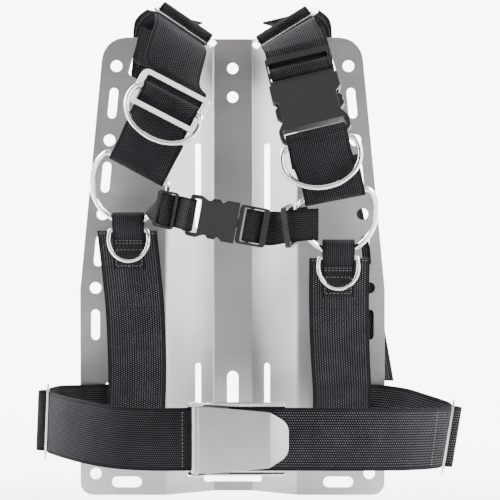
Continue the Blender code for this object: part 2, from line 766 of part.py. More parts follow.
def make_tails():
    """The long ends that hang behind the plate, each starting on the rear of its shoulder strap."""
    start = [
        (51, -5, 18.4, -13, 2),
        (61.4, -23.6, 12.6, -8, 13),
        (64, -22.6, -5, -14, 16),
        (64.5, -20.5, -25, -16, 16),
    ]
    left = start + [(67, -16.5, -61, -8, 16), (71, -13.5, -141, -4, 14), (77, -9.5, -261, 0, 8)]
    right = start + [(70, -16, -71, -12, 14), (89.6, -5.4, -156, -10, 2), (116.6, -4.8, -301.5, 0, 0)]
    for side, places in ((LEFT, left), (RIGHT, right)):
        strap(side.label + "_rear_tail", spline_of(side.mirrored(places)), WIDE, WIDE_T)


# ---------------------------------------------------------------- chest strap


SLIDER_SIZE = (31.5 * MM, 18 * MM, 2.6 * MM)
SLIDER = frame(
    at(-55.2 * MM, 99 * MM, 52.4 * MM),
    Vector((math.sin(math.radians(11)), -0.12, math.cos(math.radians(11)))),
    Vector((-0.16, -1, 0)),
)


def limb_frame(side, share):
    """A frame on the link ring's inboard limb, X along it."""
    bar, half, belly, depth = LINK_RING
    inward = -side.sign
    a = math.radians(share)
    matrix = side.link_frame()
    point = Vector((inward * half * math.cos(a), -belly - (depth - belly) * math.sin(a), 0))
    tangent = Vector((inward * half * math.sin(a), (depth - belly) * math.cos(a), 0))
    along_limb = (matrix.to_3x3() @ tangent).normalized()
    return frame(matrix @ point, along_limb, Vector((0, -1, 0)))


def limb_wrap(fold_side, tail, reach):
    """A strap's way round the limb: from behind, round its inner side, to the front."""
    r = RING_WIRE / 2 + PLY + NARROW_T / 2 + 0.6 * MM
    path = [(-tail, -r), (1.5 * MM, -r), (reach - 2 * MM, -r * 0.8), (reach, 0)]
    path += [(reach - 2 * MM, r * 0.8), (1.5 * MM, r)]
    return [(v * fold_side, n) for v, n in path]


def make_chest():
    buckle = CHEST_BUCKLE
    loop = along(limb_frame(LEFT, 12), limb_wrap(1, 17 * MM, 6.2 * MM))
    ramp = [(6 * MM, -2.5 * MM), (1.9 * MM, 2.5 * MM)]
    through = along(SLIDER, ramp + [(-v, n) for v, n in reversed(ramp)] + [(-10.5 * MM, -2.5 * MM)])
    bar_v = -buckle.bar_end + buckle.bar / 2
    r = buckle.bar_wrap(NARROW_T)
    front = [(bar_v + r * math.cos(math.radians(d)), r * math.sin(math.radians(d))) for d in (135, 90, 45)]
    back = [(v, -n) for v, n in reversed(front[1:])]
    end = along(buckle.matrix, front + [(bar_v + r * 0.74, 0)] + back)
    end = [(point, -width) for point, width in end]
    tail = [(point, end[-1][1]) for point, _ in along(SLIDER, [(-19.5 * MM, 6.5 * MM), (-17 * MM, 1.5 * MM)])]
    strap("chest_strap_left", loop[:-1] + through + end + tail, NARROW, NARROW_T)
    half_length, half_width = SLIDER_SIZE[0] / 2, SLIDER_SIZE[1] / 2
    outer = box_outline(-half_length, -half_width, half_length, half_width, 2.5 * MM)
    half = NARROW / 2 + 0.6 * MM
    windows = [box_outline(-half, 1 * MM, half, 6.4 * MM, 0.6 * MM, 2)]
    windows.append(box_outline(-half, -6.4 * MM, half, -1 * MM, 0.6 * MM, 2))
    flat_piece("chest_strap_slider", outer, windows, SLIDER_SIZE[2], SLIDER, PLASTIC)

    limb = limb_frame(RIGHT, 11)
    wrap_path = along(limb, limb_wrap(-1, 9 * MM, 10.4 * MM)[:-1] + [(-4.5 * MM, 3.7 * MM)])
    plug = along(buckle.matrix, buckle.plug_wrap(34 * MM, 30 * MM, NARROW_T))
    plug = [(point, -width) for point, width in plug]
    upright = Vector((-0.06, 0, 1))
    front = [
        (at(72 * MM, 127.6 * MM, 40.8 * MM), Vector((0, -0.2, 1))),
        (at(62 * MM, 127.2 * MM, 40.4 * MM), Vector((-0.02, -0.22, 1))),
        (at(55 * MM, 125.4 * MM, 39.6 * MM), Vector((-0.04, -0.2, 1))),
        (at(46 * MM, 121.5 * MM, 38.9 * MM), upright),
    ]
    back = [(at(40 * MM, 110.8 * MM, 37.6 * MM), upright)]
    stations = spline_of(front + plug[:2])[:-1] + plug[1:-1] + back + wrap_path
    strap("chest_strap_right", stations, NARROW, NARROW_T)

    keeper = frame(at(48 * MM, 117.4 * MM, 39.2 * MM), Vector((-0.13, -0.1, 1)), Vector((1, -0.3, 0.05)))
    hole_x, hole_y = NARROW / 2 + 1.4 * MM, 10.4 * MM
    wall = 2.0 * MM
    outer = box_outline(-hole_x - wall, -hole_y - wall, hole_x + wall, hole_y + wall, 2.4 * MM)
    window = [box_outline(-hole_x, -hole_y, hole_x, hole_y, 0.8 * MM, 2)]
    flat_piece("chest_strap_keeper", outer, window, 4.6 * MM, keeper, PLASTIC)


def make_buckles():
    for buckle in (SHOULDER_BUCKLE, CHEST_BUCKLE):
        buckle.socket()
        buckle.plug_body()
        for side, end in ((-1, "a"), (1, "b")):
            buckle.arm(f"{buckle.label}_buckle_arm_{end}", side)


# ---------------------------------------------------------------- waist belt


LEVER_PIVOT = (-27.5 * MM, 195 * MM)
BUCKLE_Z = -130.4 * MM
LEFT_GLIDE = frame(at(-157.2 * MM, 84 * MM, -126.2 * MM), Vector((0.04, 0, 1)), Vector((-1, -0.12, 0)))
RIGHT_GLIDE = frame(at(181 * MM, 112 * MM, -136.2 * MM), Vector((0.16, 0, 1)), Vector((1, -0.1, 0)))


def belt_leg(places):
    """Stations written as millimetres outwards, forward and up, and the lean of the width."""
    return [(at(x * MM, f * MM, z * MM), Vector((lean, 0, 1))) for x, f, z, lean in places]


def make_belt():
    z = BELT_Z / MM
    x = BELT_SLOT_X / MM
    left_glide = along(LEFT_GLIDE, glide_path(hump=4.2 * MM)[::-1])
    front = belt_leg([(-31, 190, -130.4, 0), (-62, 189.5, -130.6, 0), (-92, 183, -129.8, 0.02)])
    front += belt_leg([(-117, 163, -128.2, 0.06), (-138, 134, -126.8, 0.05)])
    rear = belt_leg([(-155, 50, -126.6, 0.02), (-149, 22, -127.6, 0.0), (-138, 9, z, 0)])
    rear += belt_leg([(-124, 3.4, z, 0), (-x - 2.6, 1.6, z, 0), (-x + 1.2, -3.6, z, 0)])
    rear += belt_leg([(-x + 7, -4.8, z, 0), (-60, -4.8, z, 0)])
    stations = spline_of([*front, left_glide[0]])[:-1] + left_glide[:-1]
    stations += spline_of([left_glide[-1], *rear[:4]])[:-1] + rear[3:]
    strap("waist_belt_left", stations, WIDE, WIDE_T)
    tri_glide("waist_left_tri_glide", LEFT_GLIDE)

    right_glide = along(RIGHT_GLIDE, glide_path(hump=4.2 * MM))
    front = belt_leg([(-2, 190, -130.4, 0), (50, 190.6, -130.4, 0), (98, 188, -130.8, 0.01)])
    front += belt_leg([(138, 174, -132.4, 0.05), (165, 148, -134.6, 0.12)])
    rear = belt_leg([(178, 76, -135.4, 0.12), (166, 48, -133.2, 0.06), (150, 22, -130, 0.02)])
    rear += belt_leg([(128, 4, z, 0), (x + 2.6, 1.4, z, 0), (x - 1.2, -3.6, z, 0)])
    rear += belt_leg([(x - 7, -4.8, z, 0), (60, -4.8, z, 0)])
    stations = spline_of([*front, right_glide[0]])[:-1] + right_glide[:-1]
    stations += spline_of([right_glide[-1], *rear[:4]])[:-1] + rear[3:]
    strap("waist_belt_right", stations, WIDE, WIDE_T)
    tri_glide("waist_right_tri_glide", RIGHT_GLIDE)


def make_waist_buckle():
    """A cam buckle: a channel-shaped frame, its hinge pin and the lever that bites the belt."""
    px, pf = LEVER_PIVOT
    half = 27.8 * MM
    wall = 1.6 * MM
    left, right = -35 * MM, 44 * MM
    base_f = 184.4 * MM
    bm = bmesh.new()
    tray = [(left, base_f), (right, base_f), (right, base_f + wall), (left, base_f + wall)]
    outline = [Vector((a, WING_Y - b)) for a, b in tray]
    low, high = BUCKLE_Z - half - wall, BUCKLE_Z + half + wall
    prism(bm, outline, low, high, "Z")
    frame_piece = place("waist_buckle_frame", mesh_of("waist_buckle_frame", bm), POLISHED)
    for k, (a, b) in enumerate(((low, low + wall), (high - wall, high))):
        cheek = [(left, base_f + 0.2 * MM), (right, base_f + 0.2 * MM), (right, base_f + 6.5 * MM)]
        cheek += [(px + 9 * MM, base_f + 7.5 * MM), (px + 5 * MM, pf + 5 * MM), (px - 5 * MM, pf + 5 * MM)]
        cheek += [(left, base_f + 8 * MM)]
        radii = [r * MM for r in (0, 0, 2, 3, 3, 3, 2)]
        outline = rounded([(p, WING_Y - q) for p, q in cheek], radii, 2)
        tool = cutter(f"buckle_cheek_{k}", [outline], a, b, "Z")
        boolean(frame_piece, tool, "UNION")
    tall = WIDE / 2 + 1 * MM
    slot = box_outline(left + 3.2 * MM, BUCKLE_Z - tall, left + 8.6 * MM, BUCKLE_Z + tall, 1 * MM, 2)
    boolean(frame_piece, cutter("buckle_slot", [slot], WING_Y - base_f - 4 * MM, WING_Y - base_f + 3 * MM))
    pin_r = 1.6 * MM
    hinge = Matrix.Translation((px, WING_Y - pf, BUCKLE_Z))
    boolean(frame_piece, rod("buckle_pin_hole", pin_r + 0.1 * MM, 80 * MM, hinge))

    pin = bmesh.new()
    bmesh.ops.create_cone(
        pin, cap_ends=True, segments=16, radius1=pin_r, radius2=pin_r, depth=2 * (half + wall) + 1.6 * MM
    )
    smooth(place("waist_buckle_pin", mesh_of("waist_buckle_pin", pin), POLISHED, hinge))

    lever_half = half - 1.0 * MM
    bm = bmesh.new()
    knuckle_r = 4.4 * MM
    bmesh.ops.create_cone(
        bm, cap_ends=True, segments=20, radius1=knuckle_r, radius2=knuckle_r, depth=2 * lever_half
    )
    lever = place("waist_buckle_lever", mesh_of("waist_buckle_lever", bm), POLISHED, hinge)
    reach = 74 * MM
    tip = 22.5 * MM
    outline = [(2 * MM, -lever_half), (9 * MM, -lever_half), (reach - 16 * MM, -tip), (reach, -13 * MM)]
    outline += [(x, -z) for x, z in reversed(outline)]
    radii = [0, 1 * MM, 9 * MM, 12 * MM, 12 * MM, 9 * MM, 1 * MM, 0]
    shape = [Vector((px + p.x, BUCKLE_Z + p.y)) for p in rounded(outline, radii, 4)]
    blade = cutter("lever_blade", [shape], WING_Y - pf - 3.6 * MM, WING_Y - pf - 2.0 * MM)
    boolean(lever, blade, "UNION")
    boolean(lever, rod("lever_pin_hole", pin_r + 0.12 * MM, 80 * MM, hinge))


def main():
    clear_scene()
    make_plate()
    make_left_shoulder()
    make_right_shoulder()
    for side in (LEFT, RIGHT):
        make_side_common(side)
    make_tails()
    make_buckles()
    make_chest()
    make_belt()
    make_waist_buckle()


main()
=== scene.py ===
"""Looks of a diving backplate and its webbing harness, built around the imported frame.

Metres, +X to the viewer's right when facing the wearer's side, +Z up, the wearer's side towards -Y.
"Forward" is the distance in front of the plate's wings, towards the wearer.
"""

from __future__ import annotations

import logging
import math
import random
from dataclasses import dataclass, field
from enum import Enum
from typing import Iterable, Sequence

import bmesh
import bpy
from mathutils import Matrix, Vector


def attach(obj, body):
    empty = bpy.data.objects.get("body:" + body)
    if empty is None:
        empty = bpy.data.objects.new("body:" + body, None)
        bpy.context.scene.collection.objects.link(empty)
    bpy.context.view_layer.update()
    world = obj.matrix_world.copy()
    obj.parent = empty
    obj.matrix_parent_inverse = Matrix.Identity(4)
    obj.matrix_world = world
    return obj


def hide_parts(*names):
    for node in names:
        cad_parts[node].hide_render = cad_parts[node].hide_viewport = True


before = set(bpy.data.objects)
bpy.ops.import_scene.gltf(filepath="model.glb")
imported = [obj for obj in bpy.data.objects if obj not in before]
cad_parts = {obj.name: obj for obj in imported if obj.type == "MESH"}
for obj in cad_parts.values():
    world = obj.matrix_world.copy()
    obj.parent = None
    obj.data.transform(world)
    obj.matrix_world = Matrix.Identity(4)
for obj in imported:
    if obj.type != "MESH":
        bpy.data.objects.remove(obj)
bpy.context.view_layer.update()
LOG = logging.getLogger("harness")

MM = 0.001
WING_Y = -33 * MM
PLATE_TOP = 201.0
Station = tuple[Vector, Vector]
Path = list[tuple[float, float]]
Triple = tuple[float, float, float]


class Body(str, Enum):
    """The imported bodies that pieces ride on."""

    HARNESS = "harness"
    LEFT_SHOULDER_RING = "left_shoulder_ring"
    RIGHT_SHOULDER_RING = "right_shoulder_ring"
    LEFT_SMALL_RING = "left_small_ring"
    RIGHT_SMALL_RING = "right_small_ring"
    LEVER = "waist_buckle_lever"
    KEEPER = "chest_strap_keeper"
    SHOULDER_ARM_A = "shoulder_buckle_arm_a"
    SHOULDER_ARM_B = "shoulder_buckle_arm_b"
    CHEST_ARM_A = "chest_buckle_arm_a"
    CHEST_ARM_B = "chest_buckle_arm_b"


class Slot(str, Enum):
    """The record's material slots."""

    PLATE = "plate_steel"
    WIRE = "wire_steel"
    WEBBING = "webbing"
    PLASTIC = "plastic"


class Weave(str, Enum):
    """The two weaves of the webbing."""

    COARSE = "coarse"
    SMOOTH = "smooth"


# ---- geometry helpers


def at(x: float, forward: float, z: float) -> Vector:
    """A point from its distance in front of the wings.

    Args:
        x: Distance from the centre line, in millimetres.
        forward: Distance in front of the wings, in millimetres.
        z: Height, in millimetres.

    Returns:
        The point, in metres.
    """
    return Vector((x * MM, WING_Y - forward * MM, z * MM))


def frame_of(origin: Vector, u: Vector, n: Vector) -> Matrix:
    """A matrix whose X runs along u and whose Z is n, made square to u.

    Args:
        origin: Where the frame sits.
        u: The direction of its X.
        n: Roughly the direction of its Z.

    Returns:
        The frame.
    """
    u = u.normalized()
    v = n.cross(u).normalized()
    made = Matrix((u, v, u.cross(v))).transposed().to_4x4()
    made.translation = origin
    return made


def facing(origin: Vector, tilt: float, lean: float = 0.0) -> Matrix:
    """A frame facing the wearer.

    Args:
        origin: Where the frame sits.
        tilt: How far its X is turned up, in degrees.
        lean: How far its top leans back, in degrees.

    Returns:
        The frame.
    """
    t, a = math.radians(tilt), math.radians(lean)
    u = Vector((math.cos(t), 0, math.sin(t)))
    up = Vector((-math.sin(t), 0, math.cos(t)))
    return frame_of(origin, u, Vector((0, -math.cos(a), 0)) + up * math.sin(a))


def station(x: float, forward: float, z: float, tilt: float = 0.0, lean: float = 0.0) -> Station:
    """One place along a strap: its centre and the direction of its width.

    Args:
        x: Distance from the centre line, in millimetres.
        forward: Distance in front of the wings, in millimetres.
        z: Height, in millimetres.
        tilt: How far the width is turned up, in degrees.
        lean: How far the width turns towards the rear, in degrees.

    Returns:
        The centre and the width's direction.
    """
    t, a = math.radians(tilt), math.radians(lean)
    across = Vector((math.cos(t) * math.cos(a), math.sin(a), math.sin(t) * math.cos(a)))
    return at(x, forward, z), across


def along(matrix: Matrix, path: Iterable[tuple[float, float]]) -> list[Station]:
    """Places along a strap given in a piece's own frame, its width on the frame's X.

    Args:
        matrix: The piece's frame.
        path: The places as (y, z) in the frame.

    Returns:
        The stations.
    """
    across = matrix.to_3x3() @ Vector((1, 0, 0))
    return [(matrix @ Vector((0, v, n)), across) for v, n in path]


def arc(centre: float, radius: float, degrees: Iterable[float]) -> Path:
    """Places round a bar that lies along a frame's X.

    Args:
        centre: Where the bar is on the frame's Y.
        radius: How far the places are from its middle.
        degrees: The angle of each place.

    Returns:
        The places as (y, z) in the frame.
    """
    turns = [math.radians(angle) for angle in degrees]
    return [(centre + radius * math.cos(turn), radius * math.sin(turn)) for turn in turns]


def catmull(a: Vector, b: Vector, c: Vector, d: Vector, t: float) -> Vector:
    """A point on the smooth curve through four places.

    Args:
        a: The place before.
        b: Where the stretch starts.
        c: Where it ends.
        d: The place after.
        t: How far along the stretch, from 0 to 1.

    Returns:
        The point.
    """
    return 0.5 * (
        2 * b + (c - a) * t + (2 * a - 5 * b + 4 * c - d) * t**2 + (3 * b - a - 3 * c + d) * t**3
    )


def smooth_run(stations: Sequence[Station], steps: int = 3) -> list[Station]:
    """The stations with a smooth run between them.

    Args:
        stations: The places to run through.
        steps: How many places each gap is cut into.

    Returns:
        The denser stations.
    """
    made: list[Station] = []
    last = len(stations) - 1
    for i in range(last):
        centres, widths = zip(*(stations[max(0, min(last, i + k))] for k in (-1, 0, 1, 2)))
        for k in range(steps):
            made.append((catmull(*centres, k / steps), catmull(*widths, k / steps)))
    made.append(stations[last])
    return made


def mesh_object(name: str, bm: bmesh.types.BMesh) -> bpy.types.Object:
    """Turns a bmesh into a linked object at the origin.

    Args:
        name: The object's name.
        bm: The mesh, which is freed.

    Returns:
        The new object.
    """
    data = bpy.data.meshes.new(name)
    bm.to_mesh(data)
    bm.free()
    obj = bpy.data.objects.new(name, data)
    bpy.context.scene.collection.objects.link(obj)
    return obj


# ---- shader helpers


class Wire:
    """A shader value that adds and multiplies like a number."""

    def __init__(self, graph: Graph, output: bpy.types.NodeSocket) -> None:
        self.graph, self.output = graph, output

    def math(self, operation: str, *others: Wire | float) -> Wire:
        """A Math node on this value and the others."""
        return self.graph.math(operation, self, *others)

    def __add__(self, other: Wire | float) -> Wire:
        return self.math("ADD", other)

    __radd__ = __add__

    def __sub__(self, other: Wire | float) -> Wire:
        return self.math("SUBTRACT", other)

    def __rsub__(self, other: Wire | float) -> Wire:
        return self.graph.math("SUBTRACT", other, self)

    def __mul__(self, other: Wire | float) -> Wire:
        return self.math("MULTIPLY", other)

    __rmul__ = __mul__

    def __truediv__(self, other: Wire | float) -> Wire:
        return self.math("DIVIDE", other)

    def __abs__(self) -> Wire:
        return self.math("ABSOLUTE")

    def floor(self) -> Wire:
        """The whole part."""
        return self.math("FLOOR")

    def fract(self) -> Wire:
        """The fractional part."""
        return self.math("FRACT")

    def sin(self) -> Wire:
        """The sine."""
        return self.math("SINE")

    def least(self, other: Wire | float) -> Wire:
        """The smaller of the two."""
        return self.math("MINIMUM", other)

    def ramp(self, low: float, high: float) -> Wire:
        """A smooth step.

        Args:
            low: Where it leaves 0.
            high: Where it reaches 1.

        Returns:
            The step.
        """
        node = self.graph.node("ShaderNodeMapRange", interpolation_type="SMOOTHSTEP")
        self.graph.join(self, node.inputs["Value"])
        node.inputs["From Min"].default_value = low
        node.inputs["From Max"].default_value = high
        return Wire(self.graph, node.outputs["Result"])

    def between(self, low: Wire | float, high: Wire | float) -> Wire:
        """From low to high as this value goes from 0 to 1."""
        return low + (high - low) * self if isinstance(high, Wire) else self * (high - low) + low


class Graph:
    """The nodes of one material."""

    def __init__(self, name: str) -> None:
        self.material = bpy.data.materials.new(name)
        self.material.use_nodes = True
        self.tree = self.material.node_tree
        self.shader = self.tree.nodes["Principled BSDF"]

    def node(self, kind: str, **settings: object) -> bpy.types.Node:
        """Any node, with its settings.

        Args:
            kind: The node's type name.
            **settings: Properties to set on it.

        Returns:
            The new node.
        """
        made = self.tree.nodes.new(kind)
        for key, value in settings.items():
            setattr(made, key, value)
        return made

    def join(self, value: Wire | float, socket: bpy.types.NodeSocket) -> None:
        """Links a value to a socket, or sets the socket to a constant."""
        if isinstance(value, Wire):
            self.tree.links.new(value.output, socket)
        else:
            socket.default_value = value

    def math(self, operation: str, *values: Wire | float) -> Wire:
        """A Math node on the values."""
        node = self.node("ShaderNodeMath", operation=operation)
        for value, socket in zip(values, node.inputs):
            self.join(value, socket)
        return Wire(self, node.outputs[0])

    def uv(self) -> tuple[Wire, Wire]:
        """The strap's own coordinates in millimetres: across from its centre, and along it."""
        node = self.node("ShaderNodeUVMap", uv_map="strap")
        split = self.node("ShaderNodeSeparateXYZ")
        self.tree.links.new(node.outputs["UV"], split.inputs[0])
        return Wire(self, split.outputs[0]) * (1 / MM), Wire(self, split.outputs[1]) * (1 / MM)

    def place(self, stretch: Triple = (1, 1, 1)) -> Wire:
        """Object coordinates, stretched along each axis."""
        node = self.node("ShaderNodeTexCoord")
        scaled = self.node("ShaderNodeVectorMath", operation="MULTIPLY")
        self.tree.links.new(node.outputs["Object"], scaled.inputs[0])
        scaled.inputs[1].default_value = stretch
        return Wire(self, scaled.outputs[0])

    def noise(self, where: Wire, scale: float, detail: float = 2.0, roughness: float = 0.5) -> Wire:
        """Smooth noise from 0 to 1.

        Args:
            where: The place it is read at.
            scale: How many lumps it has in a metre.
            detail: How many finer layers it has.
            roughness: How strong the finer layers are.

        Returns:
            The noise.
        """
        node = self.node("ShaderNodeTexNoise")
        self.tree.links.new(where.output, node.inputs["Vector"])
        node.inputs["Scale"].default_value = scale
        node.inputs["Detail"].default_value = detail
        node.inputs["Roughness"].default_value = roughness
        return Wire(self, node.outputs["Fac"])

    def blend(self, factor: Wire, low: Sequence[float], high: Sequence[float]) -> Wire:
        """A colour between two others.

        Args:
            factor: 0 for the first colour, 1 for the second.
            low: The first colour.
            high: The second colour.

        Returns:
            The colour.
        """
        node = self.node("ShaderNodeMix", data_type="RGBA")
        self.join(factor, node.inputs["Factor"])
        colours = [s for s in node.inputs if s.type == "RGBA"]
        for value, socket in zip((low, high), colours):
            socket.default_value = (*value, 1.0)
        return Wire(self, next(s for s in node.outputs if s.type == "RGBA"))

    def bump(self, height: Wire, distance: float, strength: float = 1.0) -> None:
        """Lights the surface as if it had this height.

        Args:
            height: The height, from 0 to 1.
            distance: What a height of 1 stands for, in metres.
            strength: How much of it counts.
        """
        node = self.node("ShaderNodeBump")
        self.tree.links.new(height.output, node.inputs["Height"])
        node.inputs["Distance"].default_value = distance
        node.inputs["Strength"].default_value = strength
        self.tree.links.new(node.outputs["Normal"], self.shader.inputs["Normal"])

    def finish(
        self, colour: Wire | Sequence[float], roughness: Wire | float, metallic: float = 0.0
    ) -> bpy.types.Material:
        """Sets the main inputs.

        Args:
            colour: The base colour.
            roughness: The roughness.
            metallic: 1 for metal, 0 for anything else.

        Returns:
            The material.
        """
        base = self.shader.inputs["Base Color"]
        if isinstance(colour, Wire):
            self.tree.links.new(colour.output, base)
        else:
            base.default_value = (*colour, 1.0)
        self.join(roughness, self.shader.inputs["Roughness"])
        self.shader.inputs["Metallic"].default_value = metallic
        return self.material

    def clear_behind(self) -> None:
        """Makes the surface clear where it is seen from behind."""
        mix = self.node("ShaderNodeMixShader")
        clear = self.node("ShaderNodeBsdfTransparent")
        self.tree.links.new(self.node("ShaderNodeNewGeometry").outputs["Backfacing"], mix.inputs[0])
        self.tree.links.new(self.shader.outputs[0], mix.inputs[1])
        self.tree.links.new(clear.outputs[0], mix.inputs[2])
        self.tree.links.new(mix.outputs[0], self.tree.nodes["Material Output"].inputs["Surface"])


# ---- finishes


@dataclass(frozen=True)
class WebbingFinish:
    """Black woven webbing, its yarn floats standing in staggered columns, the floats' highlights painted
    into the colour.
    """

    weave: Weave
    width: float
    column: float = 2.05
    row: float = 1.9
    dark: Triple = (0.004, 0.004, 0.005)
    # light: the colour of the painted highlights on the tops of the yarn floats.
    light: Triple = (0.16, 0.16, 0.175)
    relief: float = 0.45 * MM
    sheen: float = 0.07
    border: tuple[float, float] = (2.6, 1.8)

    def material(self) -> bpy.types.Material:
        """Builds the material.

        Returns:
            The material, reading the strap's own coordinates.
        """
        graph = Graph(f"webbing_{self.weave.value}_{round(self.width / MM)}")
        across, length = graph.uv()
        half = self.width / MM / 2
        fine = self.weave is Weave.SMOOTH
        column, row = (self.column * 0.85, self.row * 0.8) if fine else (self.column, self.row)
        columns = across / column
        index = columns.floor()
        side = abs(columns.fract() - 0.5) * 2.0
        rows = length / row + index * 0.5
        end = abs(rows.fract() - 0.5) * 2.0
        pillow = (1.0 - side * side) * (1.0 - end * end)
        slant = (columns.fract() - 0.5) * 0.8 + (rows.fract() - 0.5)
        float_shape = pillow * (1.0 - abs(slant) * 0.5)
        where = graph.place()
        highlight_patches = graph.noise(where, 55.0, 3.0)
        yarn = graph.noise(where, 900.0, 2.0)
        border = abs(across).ramp(half - self.border[0], half - self.border[1])
        rib = (length * 5.6).sin() * 0.25 + 0.45
        height = border.between(float_shape, rib)
        # Painted highlight: the base colour is lightened on the tops of the yarn floats, in patches that
        # vary across the strap.
        painted_highlight = float_shape.ramp(0.5, 0.95) * highlight_patches.between(0.35, 1.15) * yarn.between(0.5, 1.3)
        # The painted highlight is weaker on the selvedge and on the smooth weave.
        painted_highlight = painted_highlight * (1.0 - border * 0.75) * (0.55 if fine else 1.0)
        colour = graph.blend(painted_highlight.least(1.0), self.dark, self.light)
        graph.bump(height, self.relief * (0.5 if fine else 1.0), 0.9)
        graph.shader.inputs["Specular IOR Level"].default_value = self.sheen
        return graph.finish(colour, yarn.between(0.7, 0.9))


@dataclass(frozen=True)
class ThreadFinish:
    """The thread of a stitched seam."""

    colour: Triple = (0.2, 0.2, 0.215)

    def material(self) -> bpy.types.Material:
        """Builds the material."""
        graph = Graph("thread")
        twist = graph.noise(graph.place(), 2600.0, 1.0)
        graph.bump(twist, 0.1 * MM)
        return graph.finish(graph.blend(twist, (0.03, 0.03, 0.033), self.colour), 0.5)


@dataclass(frozen=True)
class SheetSteelFinish:
    """Brushed stainless sheet, its grain running across."""

    light: Triple = (0.55, 0.53, 0.545)
    dark: Triple = (0.4, 0.378, 0.394)
    grain: float = 0.02 * MM

    def material(self) -> bpy.types.Material:
        """Builds the material."""
        graph = Graph("sheet_steel")
        brush = graph.noise(graph.place((3, 60, 900)), 1.0, 4.0, 0.65)
        cloud = graph.noise(graph.place(), 9.0, 3.0)
        smear = graph.noise(graph.place((2, 20, 14)), 2.2, 3.0)
        shade = brush * 0.35 + cloud * 0.4 + smear * 0.25
        graph.bump(brush, self.grain, 0.5)
        rough = brush * 0.12 + cloud * 0.1 + 0.26
        return graph.finish(graph.blend(shade.ramp(0.25, 0.75), self.dark, self.light), rough, 1.0)


@dataclass(frozen=True)
class PolishedSteelFinish:
    """Polished stainless wire or strip with faint handling marks."""

    name: str
    colour: Triple = (0.86, 0.85, 0.83)
    roughness: float = 0.09

    def material(self) -> bpy.types.Material:
        """Builds the material."""
        graph = Graph(self.name)
        where = graph.place()
        marks = graph.noise(where, 420.0, 4.0, 0.7)
        cloud = graph.noise(where, 60.0, 2.0)
        graph.bump(marks, 0.012 * MM, 0.4)
        dark = tuple(c * 0.82 for c in self.colour)
        rough = marks * 0.06 + cloud * 0.05 + self.roughness
        return graph.finish(graph.blend(cloud, dark, self.colour), rough, 1.0)


@dataclass(frozen=True)
class PlasticFinish:
    """Dark moulded plastic with a fine grain."""

    colour: Triple = (0.013, 0.012, 0.0135)
    sheen: float = 0.32

    def material(self) -> bpy.types.Material:
        """Builds the material."""
        graph = Graph("moulded_plastic")
        where = graph.place()
        grain = graph.noise(where, 1500.0, 3.0, 0.6)
        cloud = graph.noise(where, 40.0, 3.0)
        graph.bump(grain, 0.03 * MM, 0.5)
        graph.shader.inputs["Specular IOR Level"].default_value = self.sheen
        pale = tuple(c * 1.35 for c in self.colour)
        return graph.finish(graph.blend(cloud, self.colour, pale), grain * 0.12 + 0.4)


@dataclass(frozen=True)
class StudioFinish:
    """The pale, plain floor and backdrop."""

    colour: Triple = (0.9, 0.9, 0.9)

    def material(self) -> bpy.types.Material:
        """Builds the material."""
        graph = Graph("studio")
        graph.clear_behind()
        return graph.finish(self.colour, 0.9)


# ---- kinds of piece


@dataclass
class Piece:
    """One finished piece: what it stands for in the frame and what it rides on."""

    name: str
    stands_for: tuple[str, ...]
    slot: Slot
    body: Body = Body.HARNESS

    def build(self) -> bpy.types.Object:
        """Makes the piece's object.

        Returns:
            The object, at the origin.
        """
        raise NotImplementedError

    def dress(self, obj: bpy.types.Object) -> None:
        """Gives the piece its materials."""
        raise NotImplementedError

    def add(self) -> bpy.types.Object:
        """Builds and dresses the piece and ties it to the frame.

        Returns:
            The finished object.
        """
        obj = self.build()
        self.dress(obj)
        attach(obj, self.body.value)
        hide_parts(*self.stands_for)
        LOG.info("%s: %d faces", self.name, len(obj.data.polygons))
        return obj


@dataclass(frozen=True)
class Seam:
    """One row of stitches on a strap: a line on its front or back, in millimetres of the strap."""

    start: tuple[float, float]
    end: tuple[float, float]
    face: int = 1
    stitch: float = 2.1
    gap: float = 0.9
    girth: tuple[float, float] = (0.38 * MM, 0.3 * MM)
    lift: float = 0.05 * MM


